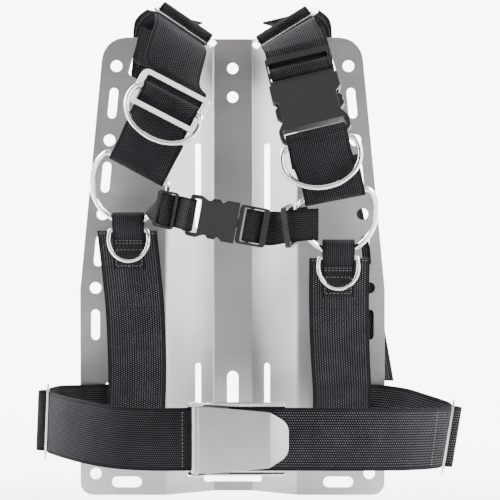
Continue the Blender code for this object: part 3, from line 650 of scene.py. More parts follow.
@dataclass
class Strap(Piece):
    """A length of flat webbing along its stations."""

    stations: list[Station] = field(default_factory=list)
    width: float = 50.8 * MM
    thickness: float = 2.0 * MM
    weave: Weave = Weave.COARSE
    seams: tuple[Seam, ...] = ()
    frayed: bool = False
    cuts: int = 3
    seed: int = 7
    threads: int = 46
    thread: float = 0.12 * MM

    def line(self) -> list[tuple[Vector, Vector, Vector, float]]:
        """The strap's centre line, eased at its bends.

        Returns:
            For each place its centre, width direction, face direction and distance along the strap.
        """
        run = list(self.stations)
        for _ in range(self.cuts):
            eased = [run[0]]
            for (p, a), (q, b) in zip(run, run[1:]):
                for share in (0.25, 0.75):
                    eased.append((p.lerp(q, share), a.normalized().lerp(b.normalized(), share)))
            eased.append(run[-1])
            run = eased
        line = []
        gone = 0.0
        for i, (centre, across) in enumerate(run):
            ahead = run[min(i + 1, len(run) - 1)][0]
            behind = run[max(i - 1, 0)][0]
            if i:
                gone += (centre - run[i - 1][0]).length
            across = across.normalized()
            face = (ahead - behind).cross(across).normalized()
            line.append((centre, across, face, gone))
        return line

    def build(self) -> bpy.types.Object:
        """Makes the strap's solid, with its own coordinates in a UV map.

        Returns:
            The object, at the origin.
        """
        line = self.line()
        half, t = self.width / 2, self.thickness / 2
        soft, flat = t * 0.75, t * 0.3
        profile = [(-half + soft, -t), (half - soft, -t), (half, -flat), (half, flat)]
        profile += [(half - soft, t), (-half + soft, t), (-half, flat), (-half, -flat)]
        bm = bmesh.new()
        uv = bm.loops.layers.uv.new("strap")
        rings = []
        for centre, across, face, _ in line:
            rings.append([bm.verts.new(centre + across * a + face * b) for a, b in profile])
        count = len(profile)
        for i, (ring, after) in enumerate(zip(rings, rings[1:])):
            for k in range(count):
                j = (k + 1) % count
                made = bm.faces.new((ring[k], ring[j], after[j], after[k]))
                made.smooth = True
                spots = ((k, i), (j, i), (j, i + 1), (k, i + 1))
                for loop, (corner, row) in zip(made.loops, spots):
                    loop[uv].uv = (profile[corner][0], line[row][3])
        for ring, row in ((rings[0], 0), (rings[-1], -1)):
            cap = bm.faces.new(ring)
            for loop, (a, b) in zip(cap.loops, profile):
                loop[uv].uv = (a, line[row][3] + b)
        bmesh.ops.recalc_face_normals(bm, faces=bm.faces)
        for seam in self.seams:
            self.sew(bm, line, seam)
        if self.frayed:
            self.fray(bm, line)
        return mesh_object(self.name, bm)

    def spot(self, line: list, across: float, length: float, rise: float) -> tuple[Vector, Matrix]:
        """A place on the strap's surface.

        Args:
            line: The strap's centre line.
            across: Millimetres from the centre.
            length: Millimetres along, counted from the end when negative.
            rise: Metres above the centre plane.

        Returns:
            The place and the directions there.
        """
        total = line[-1][3]
        goal = length * MM if length >= 0 else total + length * MM
        i = max(1, next((k for k, row in enumerate(line) if row[3] >= goal), len(line) - 1))
        before, after = line[i - 1], line[i]
        share = (goal - before[3]) / max(1e-9, after[3] - before[3])
        centre = before[0].lerp(after[0], share)
        side = before[1].lerp(after[1], share).normalized()
        face = before[2].lerp(after[2], share).normalized()
        run = side.cross(face).normalized()
        turn = Matrix((side, run, face)).transposed()
        return centre + side * across * MM + face * rise, turn

    def sew(self, bm: bmesh.types.BMesh, line: list, seam: Seam) -> None:
        """Adds a row of raised stitches.

        Args:
            bm: The strap's mesh.
            line: Its centre line.
            seam: Where the row runs.
        """
        start, end = Vector(seam.start), Vector(seam.end)
        reach = (end - start).length
        count = max(1, int(reach / (seam.stitch + seam.gap)))
        heading = math.atan2(end.y - start.y, end.x - start.x)
        rise = seam.face * (self.thickness / 2 + seam.lift)
        size = Matrix.Diagonal((seam.stitch / 2 * MM, *seam.girth, 1))
        for k in range(count):
            spot = start.lerp(end, (k + 0.5) / count)
            centre, turn = self.spot(line, spot.x, spot.y, rise)
            place = Matrix.Translation(centre) @ turn.to_4x4() @ Matrix.Rotation(heading, 4, "Z")
            made = bmesh.ops.create_uvsphere(
                bm, u_segments=6, v_segments=4, radius=1.0, matrix=place @ size
            )
            for vert in made["verts"]:
                for face in vert.link_faces:
                    face.material_index = 1
                    face.smooth = True

    def fray(self, bm: bmesh.types.BMesh, line: list) -> None:
        """Adds short loose threads to the strap's first edge.

        Args:
            bm: The strap's mesh.
            line: Its centre line.
        """
        chance = random.Random(self.seed)
        outward = (line[0][0] - line[1][0]).normalized()
        for _ in range(self.threads):
            across = chance.uniform(-self.width / 2, self.width / 2) / MM
            base, turn = self.spot(line, across, 0.0, chance.uniform(-0.6, 0.6) * MM)
            lean = turn @ Vector((chance.uniform(-0.7, 0.7), 0, chance.uniform(-0.5, 0.5)))
            tip = base + (outward + lean).normalized() * chance.uniform(1.0, 3.4) * MM
            side = turn @ Vector((self.thread, 0, 0))
            up = turn @ Vector((0, 0, self.thread))
            corners = [bm.verts.new(p) for p in (base - side, base + side, base + up, tip)]
            for a, b, c in ((0, 1, 3), (1, 2, 3), (2, 0, 3), (0, 2, 1)):
                made = bm.faces.new((corners[a], corners[b], corners[c]))
                made.material_index = 1

    def dress(self, obj: bpy.types.Object) -> None:
        """Gives the strap its weave, and its seams their thread."""
        obj.data.materials.append(material_of(WebbingFinish(self.weave, self.width)))
        obj.data.materials.append(material_of(ThreadFinish()))


@dataclass
class WireRing(Piece):
    """A D ring bent from round wire, its bow hanging from a straight bar."""

    place: Matrix = field(default_factory=Matrix)
    half_bar: float = 26.5 * MM
    half_width: float = 32.5 * MM
    belly: float = 12 * MM
    depth: float = 37 * MM
    wire: float = 4.6 * MM
    sides: int = 16
    steps: int = 20

    def centre_line(self) -> list[Vector]:
        """The wire's closed centre line in the ring's own frame."""
        right = []
        for k in range(self.steps // 2):
            a = math.pi / 2 * k / (self.steps // 2)
            swell = (self.half_width - self.half_bar) * math.sin(a)
            right.append(Vector((self.half_bar + swell, -self.belly * (1 - math.cos(a)), 0)))
        for k in range(self.steps + 1):
            a = math.pi / 2 * k / self.steps
            drop = (self.depth - self.belly) * math.sin(a)
            right.append(Vector((self.half_width * math.cos(a), -self.belly - drop, 0)))
        left = [Vector((-p.x, p.y, 0)) for p in reversed(right[:-1])]
        bar = [Vector((self.half_bar * (1 - k / 4) * -1, 0, 0)) for k in range(1, 8)]
        return right + left + bar

    def build(self) -> bpy.types.Object:
        """Sweeps the wire along the ring."""
        line = self.centre_line()
        eased = []
        for i, point in enumerate(line):
            eased.append((line[i - 1] + point * 2 + line[(i + 1) % len(line)]) / 4)
        bm = bmesh.new()
        rings = []
        for i, point in enumerate(eased):
            heading = (eased[(i + 1) % len(eased)] - eased[i - 1]).normalized()
            out = heading.cross(Vector((0, 0, 1)))
            rings.append([])
            for k in range(self.sides):
                a = 2 * math.pi * k / self.sides
                offset = out * math.cos(a) + Vector((0, 0, 1)) * math.sin(a)
                rings[-1].append(bm.verts.new(self.place @ (point + offset * self.wire / 2)))
        for i, ring in enumerate(rings):
            after = rings[(i + 1) % len(rings)]
            for k in range(self.sides):
                j = (k + 1) % self.sides
                bm.faces.new((ring[k], ring[j], after[j], after[k])).smooth = True
        bmesh.ops.recalc_face_normals(bm, faces=bm.faces)
        return mesh_object(self.name, bm)

    def dress(self, obj: bpy.types.Object) -> None:
        """Gives the ring its polish."""
        obj.data.materials.append(material_of(PolishedSteelFinish("polished_wire")))


@dataclass
class HardPart(Piece):
    """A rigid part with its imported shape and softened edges."""

    finish: object = None
    edge: float = 0.4 * MM
    segments: int = 2
    flat: float = 1.5
    sharp: float = 28.0
    crease: float = 50.0

    def build(self) -> bpy.types.Object:
        """Copies the part's shape, merges its flat faces and rounds its edges."""
        bm = bmesh.new()
        bm.from_mesh(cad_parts[self.stands_for[0]].data)
        bmesh.ops.remove_doubles(bm, verts=bm.verts, dist=0.002 * MM)
        bmesh.ops.dissolve_limit(
            bm,
            angle_limit=math.radians(self.flat),
            verts=bm.verts,
            edges=bm.edges,
            use_dissolve_boundaries=False,
        )
        bmesh.ops.recalc_face_normals(bm, faces=bm.faces)
        limit = math.radians(self.sharp)
        edges = [e for e in bm.edges if len(e.link_faces) == 2 and e.calc_face_angle() > limit]
        bmesh.ops.bevel(
            bm,
            geom=edges,
            offset=self.edge,
            offset_type="OFFSET",
            affect="EDGES",
            segments=self.segments,
            profile=0.5,
            clamp_overlap=True,
            material=-1,
        )
        for face in bm.faces:
            face.smooth = True
        obj = mesh_object(self.name, bm)
        obj.data.set_sharp_from_angle(angle=math.radians(self.crease))
        weighted = obj.modifiers.new("even_shading", "WEIGHTED_NORMAL")
        weighted.keep_sharp = True
        weighted.weight = 100
        return obj

    def dress(self, obj: bpy.types.Object) -> None:
        """Gives the part its finish."""
        obj.data.materials.append(material_of(self.finish))


MATERIALS: dict[object, bpy.types.Material] = {}


def material_of(finish: object) -> bpy.types.Material:
    """The one material of a finish, built on first use.

    Args:
        finish: The finish.

    Returns:
        Its material.
    """
    if finish not in MATERIALS:
        MATERIALS[finish] = finish.material()
    return MATERIALS[finish]


# ---- fits shared by the sub-assemblies

WIDE, WIDE_T = 50.8 * MM, 2.0 * MM
NARROW, NARROW_T = 27 * MM, 1.6 * MM
NARROW_WEB = {"width": NARROW, "thickness": NARROW_T, "weave": Weave.SMOOTH}
PLY = 0.35 * MM
RING_WIRE, SMALL_WIRE = 4.6 * MM, 3.6 * MM
SLOT_Z = -164.0
BELT_Z, BELT_SLOT_X = -128.5, 108.0
LINK_LEAN, TAB_LEAN = 23, 21
LINK_BELLY, LINK_DEPTH = 14 * MM, 52.5 * MM
GLIDE_MID = facing(at(-52, 93, 143.6), -27.5, 14)
RIGHT_D = facing(at(71.4, 137.6, 108.4), 11.2, 0)
POLISHED = PolishedSteelFinish("polished_steel")
BRUSHED = PolishedSteelFinish("brushed_lever", (0.51, 0.5, 0.51), 0.24)
PLASTIC = PlasticFinish()


def webbing(name: str, node: str, stations: list[Station], **extra: object) -> Strap:
    """A strap that stands for one node.

    Args:
        name: The piece's name.
        node: The node it stands for.
        stations: The places it runs through.
        **extra: Anything else that the strap has of its own.

    Returns:
        The piece.
    """
    return Strap(name, (node,), Slot.WEBBING, stations=stations, **extra)


def adjuster(node: str) -> HardPart:
    """A strap adjuster with well rounded edges."""
    return HardPart(node + "_look", (node,), Slot.WIRE, finish=POLISHED, edge=0.55 * MM, segments=3)


def glide_path(hump: float = 0.0, reach: float = 20 * MM) -> Path:
    """A strap's way through an adjuster: behind an edge bar, over the centre bar, behind the other.

    Args:
        hump: How far the strap stands off the centre bar.
        reach: How far the path runs beyond the adjuster's middle.

    Returns:
        The path as (y, z) in the adjuster's frame.
    """
    under = 1 * MM + WIDE_T / 2 + PLY
    inner, outer = 2.5 * MM, 11.5 * MM
    top = under + hump
    side = inner + WIDE_T / 2 + PLY + 0.3 * MM
    half = [(outer - 1.0 * MM, -under)]
    if hump > 0:
        half += [(side + 0.6 * MM, -0.4 * MM), (side + 0.3 * MM, under * 0.6 + hump * 0.35)]
        half += [(side * 0.72, top - 1.2 * MM), (side * 0.25, top)]
    else:
        half += [(inner + 1.0 * MM, under)]
    front = [(reach, -under), *half]
    return front + [(-v, n) for v, n in reversed(front)]


def ring_wrap(tail: float) -> Path:
    """A wide strap's end turned round a ring's bar, from its tail at the back to the front.

    Args:
        tail: How far the tail runs up behind the strap.

    Returns:
        The path as (y, z) in the bar's frame.
    """
    radius = RING_WIRE / 2 + PLY * 1.2 + WIDE_T / 2 + 0.25 * MM
    close = (WIDE_T + PLY) / 2
    turn = arc(0.0, radius, (270, 225, 180, 135, 90))
    return [(tail, -close), (radius * 2.6, -close), *turn, (radius * 2.6, close)]


@dataclass(frozen=True)
class BuckleSizes:
    """The sizes of a side-release buckle that its straps follow."""

    place: Matrix
    plug: float
    bar_end: float
    thick: float
    low: float = 9 * MM
    high: float = 12 * MM
    bar: float = 3.6 * MM

    def bar_wrap(self, thickness: float) -> float:
        """The radius at which a strap of this thickness clears the socket's bar."""
        clear = math.hypot(self.bar, self.thick * 0.5) / 2 + PLY + thickness / 2
        return clear / math.cos(math.radians(22.5))

    def plug_wrap(self, tail: float, reach: float, thickness: float) -> Path:
        """A strap through the plug: in behind its end bar, over the adjuster bar and back behind.

        Args:
            tail: Where the loose end stops.
            reach: Where the strap comes in.
            thickness: The strap's thickness.

        Returns:
            The path as (y, z) in the buckle's frame.
        """
        mid = (self.low + self.high) / 2
        plug_t = self.thick * 0.42
        corner = math.hypot((self.high - self.low) / 2, plug_t / 2)
        r = (corner + PLY + thickness / 2) / math.cos(math.radians(28.5))
        back = plug_t / 2 + PLY + thickness / 2
        turn = arc(mid, r, (35, 90, 145, 180, 225, 270))
        step = thickness + 2 * PLY
        start = [(reach, -back), (self.plug - 5.6 * MM, -back), (mid + r + 1.8 * MM, -r * 0.35)]
        end = [(self.high + 3.0 * MM, -r - 1.6 * MM), (self.plug - 5 * MM, -back - step)]
        return start + turn + end + [(tail, -back - step)]


SHOULDER_BUCKLE = BuckleSizes(facing(at(59.4, 116, 159.6), 13.3, 22), 26 * MM, 52 * MM, 11 * MM)
CHEST_BUCKLE = BuckleSizes(facing(at(4.6, 117, 41.4), -100.4), 26 * MM, 41.5 * MM, 9 * MM)


@dataclass(frozen=True)
class Side:
    """What differs between the left and right shoulder straps, in millimetres and degrees."""

    sign: int
    label: str
    top: tuple[float, float]
    top_tilt: float
    link: tuple[float, float]
    link_tilt: float
    link_forward: float
    strap_top: Triple
    tab_x: float
    bend_x: float
    lower: tuple[Triple, ...]

    def top_frame(self) -> Matrix:
        """The frame of the adjuster at the shoulder's top."""
        return facing(at(self.top[0], 22, PLATE_TOP + self.top[1]), self.top_tilt, 78)

    def link_frame(self, lean: float) -> Matrix:
        """The frame of the link ring's bar, leaning by the given angle."""
        x, z = self.link
        return facing(at(x, self.link_forward, z), self.link_tilt, lean)

    def strap_frame(self, x: float) -> Matrix:
        """The frame at the lower strap's head."""
        _, forward, z = self.strap_top
        return facing(at(x, forward, z), 0, -TAB_LEAN)

    def mirrored(self, stations: Iterable[tuple[float, ...]]) -> list[Station]:
        """Stations from their distance outwards, forward and above the plate's top edge."""
        out = self.sign
        return [station(out * x, f, PLATE_TOP + z, -out * t, -out * a) for x, f, z, t, a in stations]

    def rear_loop(self) -> list[Station]:
        """From the top adjuster over the plate's edge, down behind it and through the window."""
        return self.mirrored(
            [
                (53, -8, 12, -13, 2),
                (59.5, -18.5, 6.5, -7, 13),
                (62, -18, -5, -14, 16),
                (62.5, -15.5, -21, -26, 16),
                (63, -10.5, -29, -27, 13),
                (63, -3.5, -32, -27, 8),
                (62.5, 2.6, -29, -27, 2),
                (61, 4.5, -17, -25, 0),
                (56, 9, 0, -21, 0),
            ]
        )


LEFT = Side(
    sign=-1,
    label="left",
    top=(-41.6, 9.8),
    top_tilt=-34.5,
    link=(-78.6, 87.6),
    link_tilt=-28.0,
    link_forward=95,
    strap_top=(-89.2, 69, 33.6),
    tab_x=-87.8,
    bend_x=-86.2,
    lower=((-84, 41, -30), (-83.2, 28, -60), (-83, 17, -95), (-84.5, 10, -128)),
)
RIGHT = Side(
    sign=1,
    label="right",
    top=(45.6, 7.0),
    top_tilt=31.8,
    link=(85.2, 64.9),
    link_tilt=10.8,
    link_forward=125,
    strap_top=(90.4, 99, 11.6),
    tab_x=89.3,
    bend_x=90.4,
    lower=((91.5, 68, -55), (93.6, 46, -85), (95.6, 26, -112), (95.2, 14, -136)),
)


# ---- sub-assemblies


@dataclass
class Backplate:
    """The folded steel plate."""

    edge: float = 0.5 * MM

    def pieces(self) -> list[Piece]:
        """The plate's one piece."""
        finish = SheetSteelFinish()
        return [HardPart("plate", ("backplate",), Slot.PLATE, finish=finish, edge=self.edge)]


@dataclass
class ShoulderStraps:
    """Both shoulder straps with their adjusters, rings and rear tails."""

    def ring(self, node: str, place: Matrix, body: Body, **sizes: float) -> Piece:
        """A D ring.

        Args:
            node: The node it stands for.
            place: The frame of its bar.
            body: The body it rides on.
            **sizes: The sizes that differ from a wide ring's.

        Returns:
            The piece.
        """
        return WireRing(node + "_look", (node,), Slot.WIRE, body, place=place, **sizes)

    def left(self) -> list[Piece]:
        """The left strap, folded round its link ring and led through two adjusters."""
        path = along(LEFT.link_frame(4), ring_wrap(34 * MM))
        mid = along(GLIDE_MID, glide_path(RING_WIRE + 0.6 * MM)[::-1])
        top = along(LEFT.top_frame(), glide_path(4.0 * MM)[::-1])
        climb = [mid[-1], station(-50, 85, 168, -26), station(-46.5, 72, 186, -27)]
        climb += [station(-43.5, 56, 199, -31), top[0]]
        run = path[:-1] + smooth_run([path[-1], mid[0]], 2)[:-1] + mid[:-1] + smooth_run(climb)[:-1]
        run += top[:-1] + smooth_run([top[-1], *LEFT.rear_loop()])
        bar = GLIDE_MID @ Vector((0, 0, 1 * MM + PLY + RING_WIRE / 2))
        return [
            webbing("left_shoulder_web", "left_shoulder_strap", run, weave=Weave.SMOOTH),
            adjuster("left_top_tri_glide"),
            adjuster("left_chest_tri_glide"),
            self.ring("left_shoulder_ring", facing(bar, -27.5, 15), Body.LEFT_SHOULDER_RING),
        ]

    def right(self) -> list[Piece]:
        """The right strap, parted by the quick-release buckle."""
        top = along(RIGHT.top_frame(), glide_path(4.0 * MM)[::-1])
        plug = along(SHOULDER_BUCKLE.place, SHOULDER_BUCKLE.plug_wrap(32 * MM, 34 * MM, WIDE_T))
        climb = [plug[0], station(49.5, 84, 196.5, 22), station(47, 66, 201.5, 29), top[0]]
        upper = plug[::-1][:-1] + smooth_run(climb)[:-1]
        upper += top[:-1] + smooth_run([top[-1], *RIGHT.rear_loop()])
        fold = along(RIGHT.link_frame(4), ring_wrap(30 * MM))
        bar_v = -SHOULDER_BUCKLE.bar_end + SHOULDER_BUCKLE.bar / 2
        r = SHOULDER_BUCKLE.bar_wrap(WIDE_T)
        down = arc(bar_v, r, (135, 90, 45, 0, -45, -90, -135))
        down += [(bar_v - 8 * MM, -4.0 * MM)]
        over = facing(RIGHT_D.translation, 11.2, -13)
        hump = RING_WIRE / 2 + PLY + WIDE_T / 2 + 0.3 * MM
        rise = [(-11 * MM, 1.2 * MM), (-3.2 * MM, hump * 0.92), (0, hump * 1.1), (2.6 * MM, hump)]
        bump = along(over, rise)
        tail = along(over, [(-9 * MM, -3.0 * MM), (-19 * MM, -3.9 * MM)])
        lower = fold[:-1] + smooth_run([fold[-1], bump[0]], 2)[:-1] + bump
        lower += along(SHOULDER_BUCKLE.place, down) + tail
        return [
            webbing("right_shoulder_web", "right_shoulder_strap", upper, weave=Weave.SMOOTH),
            webbing("right_chest_web", "right_chest_strap", lower, weave=Weave.SMOOTH),
            adjuster("right_top_tri_glide"),
            self.ring("right_shoulder_ring", RIGHT_D, Body.RIGHT_SHOULDER_RING),
        ]

    def common(self, side: Side) -> list[Piece]:
        """The link ring, its tab, the small ring, the lower strap and the rear tail of one side."""
        tab = side.strap_frame(side.tab_x)
        web = WIDE_T / 2 + PLY + NARROW_T / 2
        small = (2.0, 3.4)
        front = (SMALL_WIRE / 2 + PLY + NARROW_T / 2) / MM
        path = [(-34, web / MM), (-5.5, web / MM), (-1.4, 4.6), (small[0], small[1] + front + 0.2)]
        path += [(7, 8.7), (12.5, 9.8), (16.4, 8.4), (17.6, 4.6), (17, 1), (14.4, -2), (9, -2.6), (4, -2.5)]
        path += [(0, -web / MM), (-19, -web / MM)]
        head = along(side.strap_frame(side.strap_top[0]), [(0, 0), (-36 * MM, 0)])
        head[1][0].x = side.bend_x * MM
        down = [station(*place) for place in side.lower]
        through = [(7.0, 7.5), (1.6, 1.4), (-2.6, -1.4), (-6.6, 0.6), (-8.4, 9), (-8.4, 52)]
        foot = [station(side.lower[-1][0], f, SLOT_Z + rise) for f, rise in through]
        bar = tab @ Vector((0, small[0] * MM, small[1] * MM))
        return [
            self.ring(
                side.label + "_link_ring",
                side.link_frame(-LINK_LEAN),
                Body.HARNESS,
                depth=LINK_DEPTH,
                belly=LINK_BELLY,
            ),
            webbing(
                side.label + "_tab_web",
                side.label + "_ring_tab",
                along(tab, [(v * MM, n * MM) for v, n in path]),
                seams=TAB_SEAMS,
                **NARROW_WEB,
            ),
            self.ring(
                side.label + "_small_ring",
                facing(bar, 0),
                Body(side.label + "_small_ring"),
                half_bar=NARROW / 2 + 1.4 * MM,
                half_width=NARROW / 2 + 3.3 * MM,
                belly=7 * MM,
                depth=26 * MM,
                wire=SMALL_WIRE,
            ),
            webbing(
                side.label + "_lower_web",
                side.label + "_lower_strap",
                head[:1] + smooth_run([head[1], *down, foot[0]], 2) + foot[1:],
                seams=(Seam((-24, 1.6), (24, 1.6)),),
            ),
        ]

    def tails(self) -> list[Piece]:
        """The long ends that hang behind the plate."""
        start = [(51, -5, 18.4, -13, 2), (61.4, -23.6, 12.6, -8, 13), (64, -22.6, -5, -14, 16)]
        start += [(64.5, -20.5, -25, -16, 16)]
        left = start + [(67, -16.5, -61, -8, 16), (71, -13.5, -141, -4, 14), (77, -9.5, -261, 0, 8)]
        right = start + [(70, -16, -71, -12, 14), (89.6, -5.4, -156, -10, 2)]
        right += [(116.6, -4.8, -301.5, 0, 0)]
        return [
            webbing(
                side.label + "_tail_web",
                side.label + "_rear_tail",
                smooth_run(side.mirrored(places)),
                frayed=True,
                cuts=2,
            )
            for side, places in ((LEFT, left), (RIGHT, right))
        ]

    def pieces(self) -> list[Piece]:
        """Every piece of both shoulders."""
        return self.left() + self.right() + self.common(LEFT) + self.common(RIGHT) + self.tails()


TAB_SEAMS = (
    Seam((-12, 26.6), (12, 26.6), face=-1),
    Seam((-12, 24.2), (12, 24.2), face=-1),
    Seam((-11, 3.0), (11, 3.0), face=-1),
    Seam((-11, 18.0), (11, 18.0), face=-1),
    Seam((-11, 3.0), (-11, 18.0), face=-1),
    Seam((11, 3.0), (11, 18.0), face=-1),
)


def limb_frame(side: Side, share: float) -> Matrix:
    """A frame on the link ring's inboard limb, its X along it.

    Args:
        side: Which link ring.
        share: How far down the bow, in degrees.

    Returns:
        The frame.
    """
    half, drop = WIDE / 2 + 7.1 * MM, LINK_DEPTH - LINK_BELLY
    a = math.radians(share)
    matrix = side.link_frame(-LINK_LEAN)
    point = Vector((-side.sign * half * math.cos(a), -LINK_BELLY - drop * math.sin(a), 0))
    tangent = Vector((-side.sign * half * math.sin(a), drop * math.cos(a), 0))
    return frame_of(matrix @ point, (matrix.to_3x3() @ tangent).normalized(), Vector((0, -1, 0)))


@dataclass
class ChestStrap:
    """The chest strap's two halves with the slider, the keeper and the buckle."""

    slider: Matrix = field(
        default_factory=lambda: frame_of(
            at(-55.2, 99, 52.4),
            Vector((math.sin(math.radians(11)), -0.12, math.cos(math.radians(11)))),
            Vector((-0.16, -1, 0)),
        )
    )

    def limb_wrap(self, turn: int, tail: float, reach: float) -> Path:
        """A strap's way round the limb: from behind, round its inner side, to the front."""
        r = RING_WIRE / 2 + PLY + NARROW_T / 2 + 0.6 * MM
        path = [(-tail, -r), (1.5 * MM, -r), (reach - 2 * MM, -r * 0.8), (reach, 0)]
        path += [(reach - 2 * MM, r * 0.8), (1.5 * MM, r)]
        return [(v * turn, n) for v, n in path]

    def left_run(self) -> list[Station]:
        """The left half: round the ring, through the slider and round the socket's bar."""
        loop = along(limb_frame(LEFT, 12), self.limb_wrap(1, 17 * MM, 6.2 * MM))
        ramp = [(6 * MM, -2.5 * MM), (1.9 * MM, 2.5 * MM)]
        ramp += [(-v, n) for v, n in reversed(ramp)] + [(-10.5 * MM, -2.5 * MM)]
        bar_v = -CHEST_BUCKLE.bar_end + CHEST_BUCKLE.bar / 2
        r = CHEST_BUCKLE.bar_wrap(NARROW_T)
        front = arc(bar_v, r, (135, 90, 45))
        back = [(v, -n) for v, n in reversed(front[1:])]
        end = along(CHEST_BUCKLE.place, front + [(bar_v + r * 0.74, 0)] + back)
        end = [(point, -width) for point, width in end]
        tail = along(self.slider, [(-19.5 * MM, 6.5 * MM), (-17 * MM, 1.5 * MM)])
        tail = [(point, end[-1][1]) for point, _ in tail]
        return loop[:-1] + along(self.slider, ramp) + end + tail

    def right_run(self) -> list[Station]:
        """The right half: through the plug, its loose end led back over the ring."""
        wrapped = self.limb_wrap(-1, 9 * MM, 10.4 * MM)[:-1] + [(-4.5 * MM, 3.7 * MM)]
        plug = along(CHEST_BUCKLE.place, CHEST_BUCKLE.plug_wrap(34 * MM, 30 * MM, NARROW_T))
        plug = [(point, -width) for point, width in plug]
        upright = Vector((-0.06, 0, 1))
        front = [
            (at(72, 127.6, 40.8), Vector((0, -0.2, 1))),
            (at(62, 127.2, 40.4), Vector((-0.02, -0.22, 1))),
            (at(55, 125.4, 39.6), Vector((-0.04, -0.2, 1))),
            (at(46, 121.5, 38.9), upright),
        ]
        back = [(at(40, 110.8, 37.6), upright)]
        run = smooth_run(front + plug[:2])[:-1] + plug[1:-1] + back
        return run + along(limb_frame(RIGHT, 11), wrapped)

    def pieces(self) -> list[Piece]:
        """Every piece of the chest strap."""
        slider_edge = 0.5 * MM
        return [
            webbing("chest_left_web", "chest_strap_left", self.left_run(), **NARROW_WEB),
            webbing("chest_right_web", "chest_strap_right", self.right_run(), **NARROW_WEB),
            HardPart("slider_look", ("chest_strap_slider",), Slot.PLASTIC, finish=PLASTIC, edge=slider_edge),
            HardPart("keeper_look", ("chest_strap_keeper",), Slot.PLASTIC, Body.KEEPER, finish=PLASTIC),
        ]


@dataclass
class ReleaseBuckle:
    """A side-release buckle: the socket, the plug and its two springy arms."""

    label: str
    edge: float = 0.7 * MM

    def pieces(self) -> list[Piece]:
        """Every piece of the buckle."""
        shell = {"finish": PLASTIC, "edge": self.edge, "segments": 3}
        made: list[Piece] = []
        for part in ("socket", "plug"):
            node = f"{self.label}_buckle_{part}"
            made.append(HardPart(node + "_look", (node,), Slot.PLASTIC, **shell))
        for end in ("a", "b"):
            node = f"{self.label}_buckle_arm_{end}"
            made.append(HardPart(node + "_look", (node,), Slot.PLASTIC, Body(node), finish=PLASTIC))
        return made


@dataclass
class LeverLook(HardPart):
    """The cam buckle's lever, its rounded tip bent back towards the belt."""

    bend_at: float = 31 * MM
    bend: float = 4.9 * MM
    bend_power: float = 1.1
    bend_steps: int = 5
    tip: float = 16 * MM

    def build(self) -> bpy.types.Object:
        """Copies the lever's shape and bends its tip."""
        obj = super().build()
        bm = bmesh.new()
        bm.from_mesh(obj.data)
        for cut in (self.bend_at + self.tip * k / self.bend_steps for k in range(self.bend_steps)):
            parts = list(bm.verts) + list(bm.edges) + list(bm.faces)
            bmesh.ops.bisect_plane(bm, geom=parts, plane_co=(cut, 0, 0), plane_no=(1, 0, 0))
        for vert in bm.verts:
            over = max(0.0, vert.co.x - self.bend_at) / self.tip
            vert.co.y += self.bend * over**self.bend_power
        bm.to_mesh(obj.data)
        bm.free()
        return obj


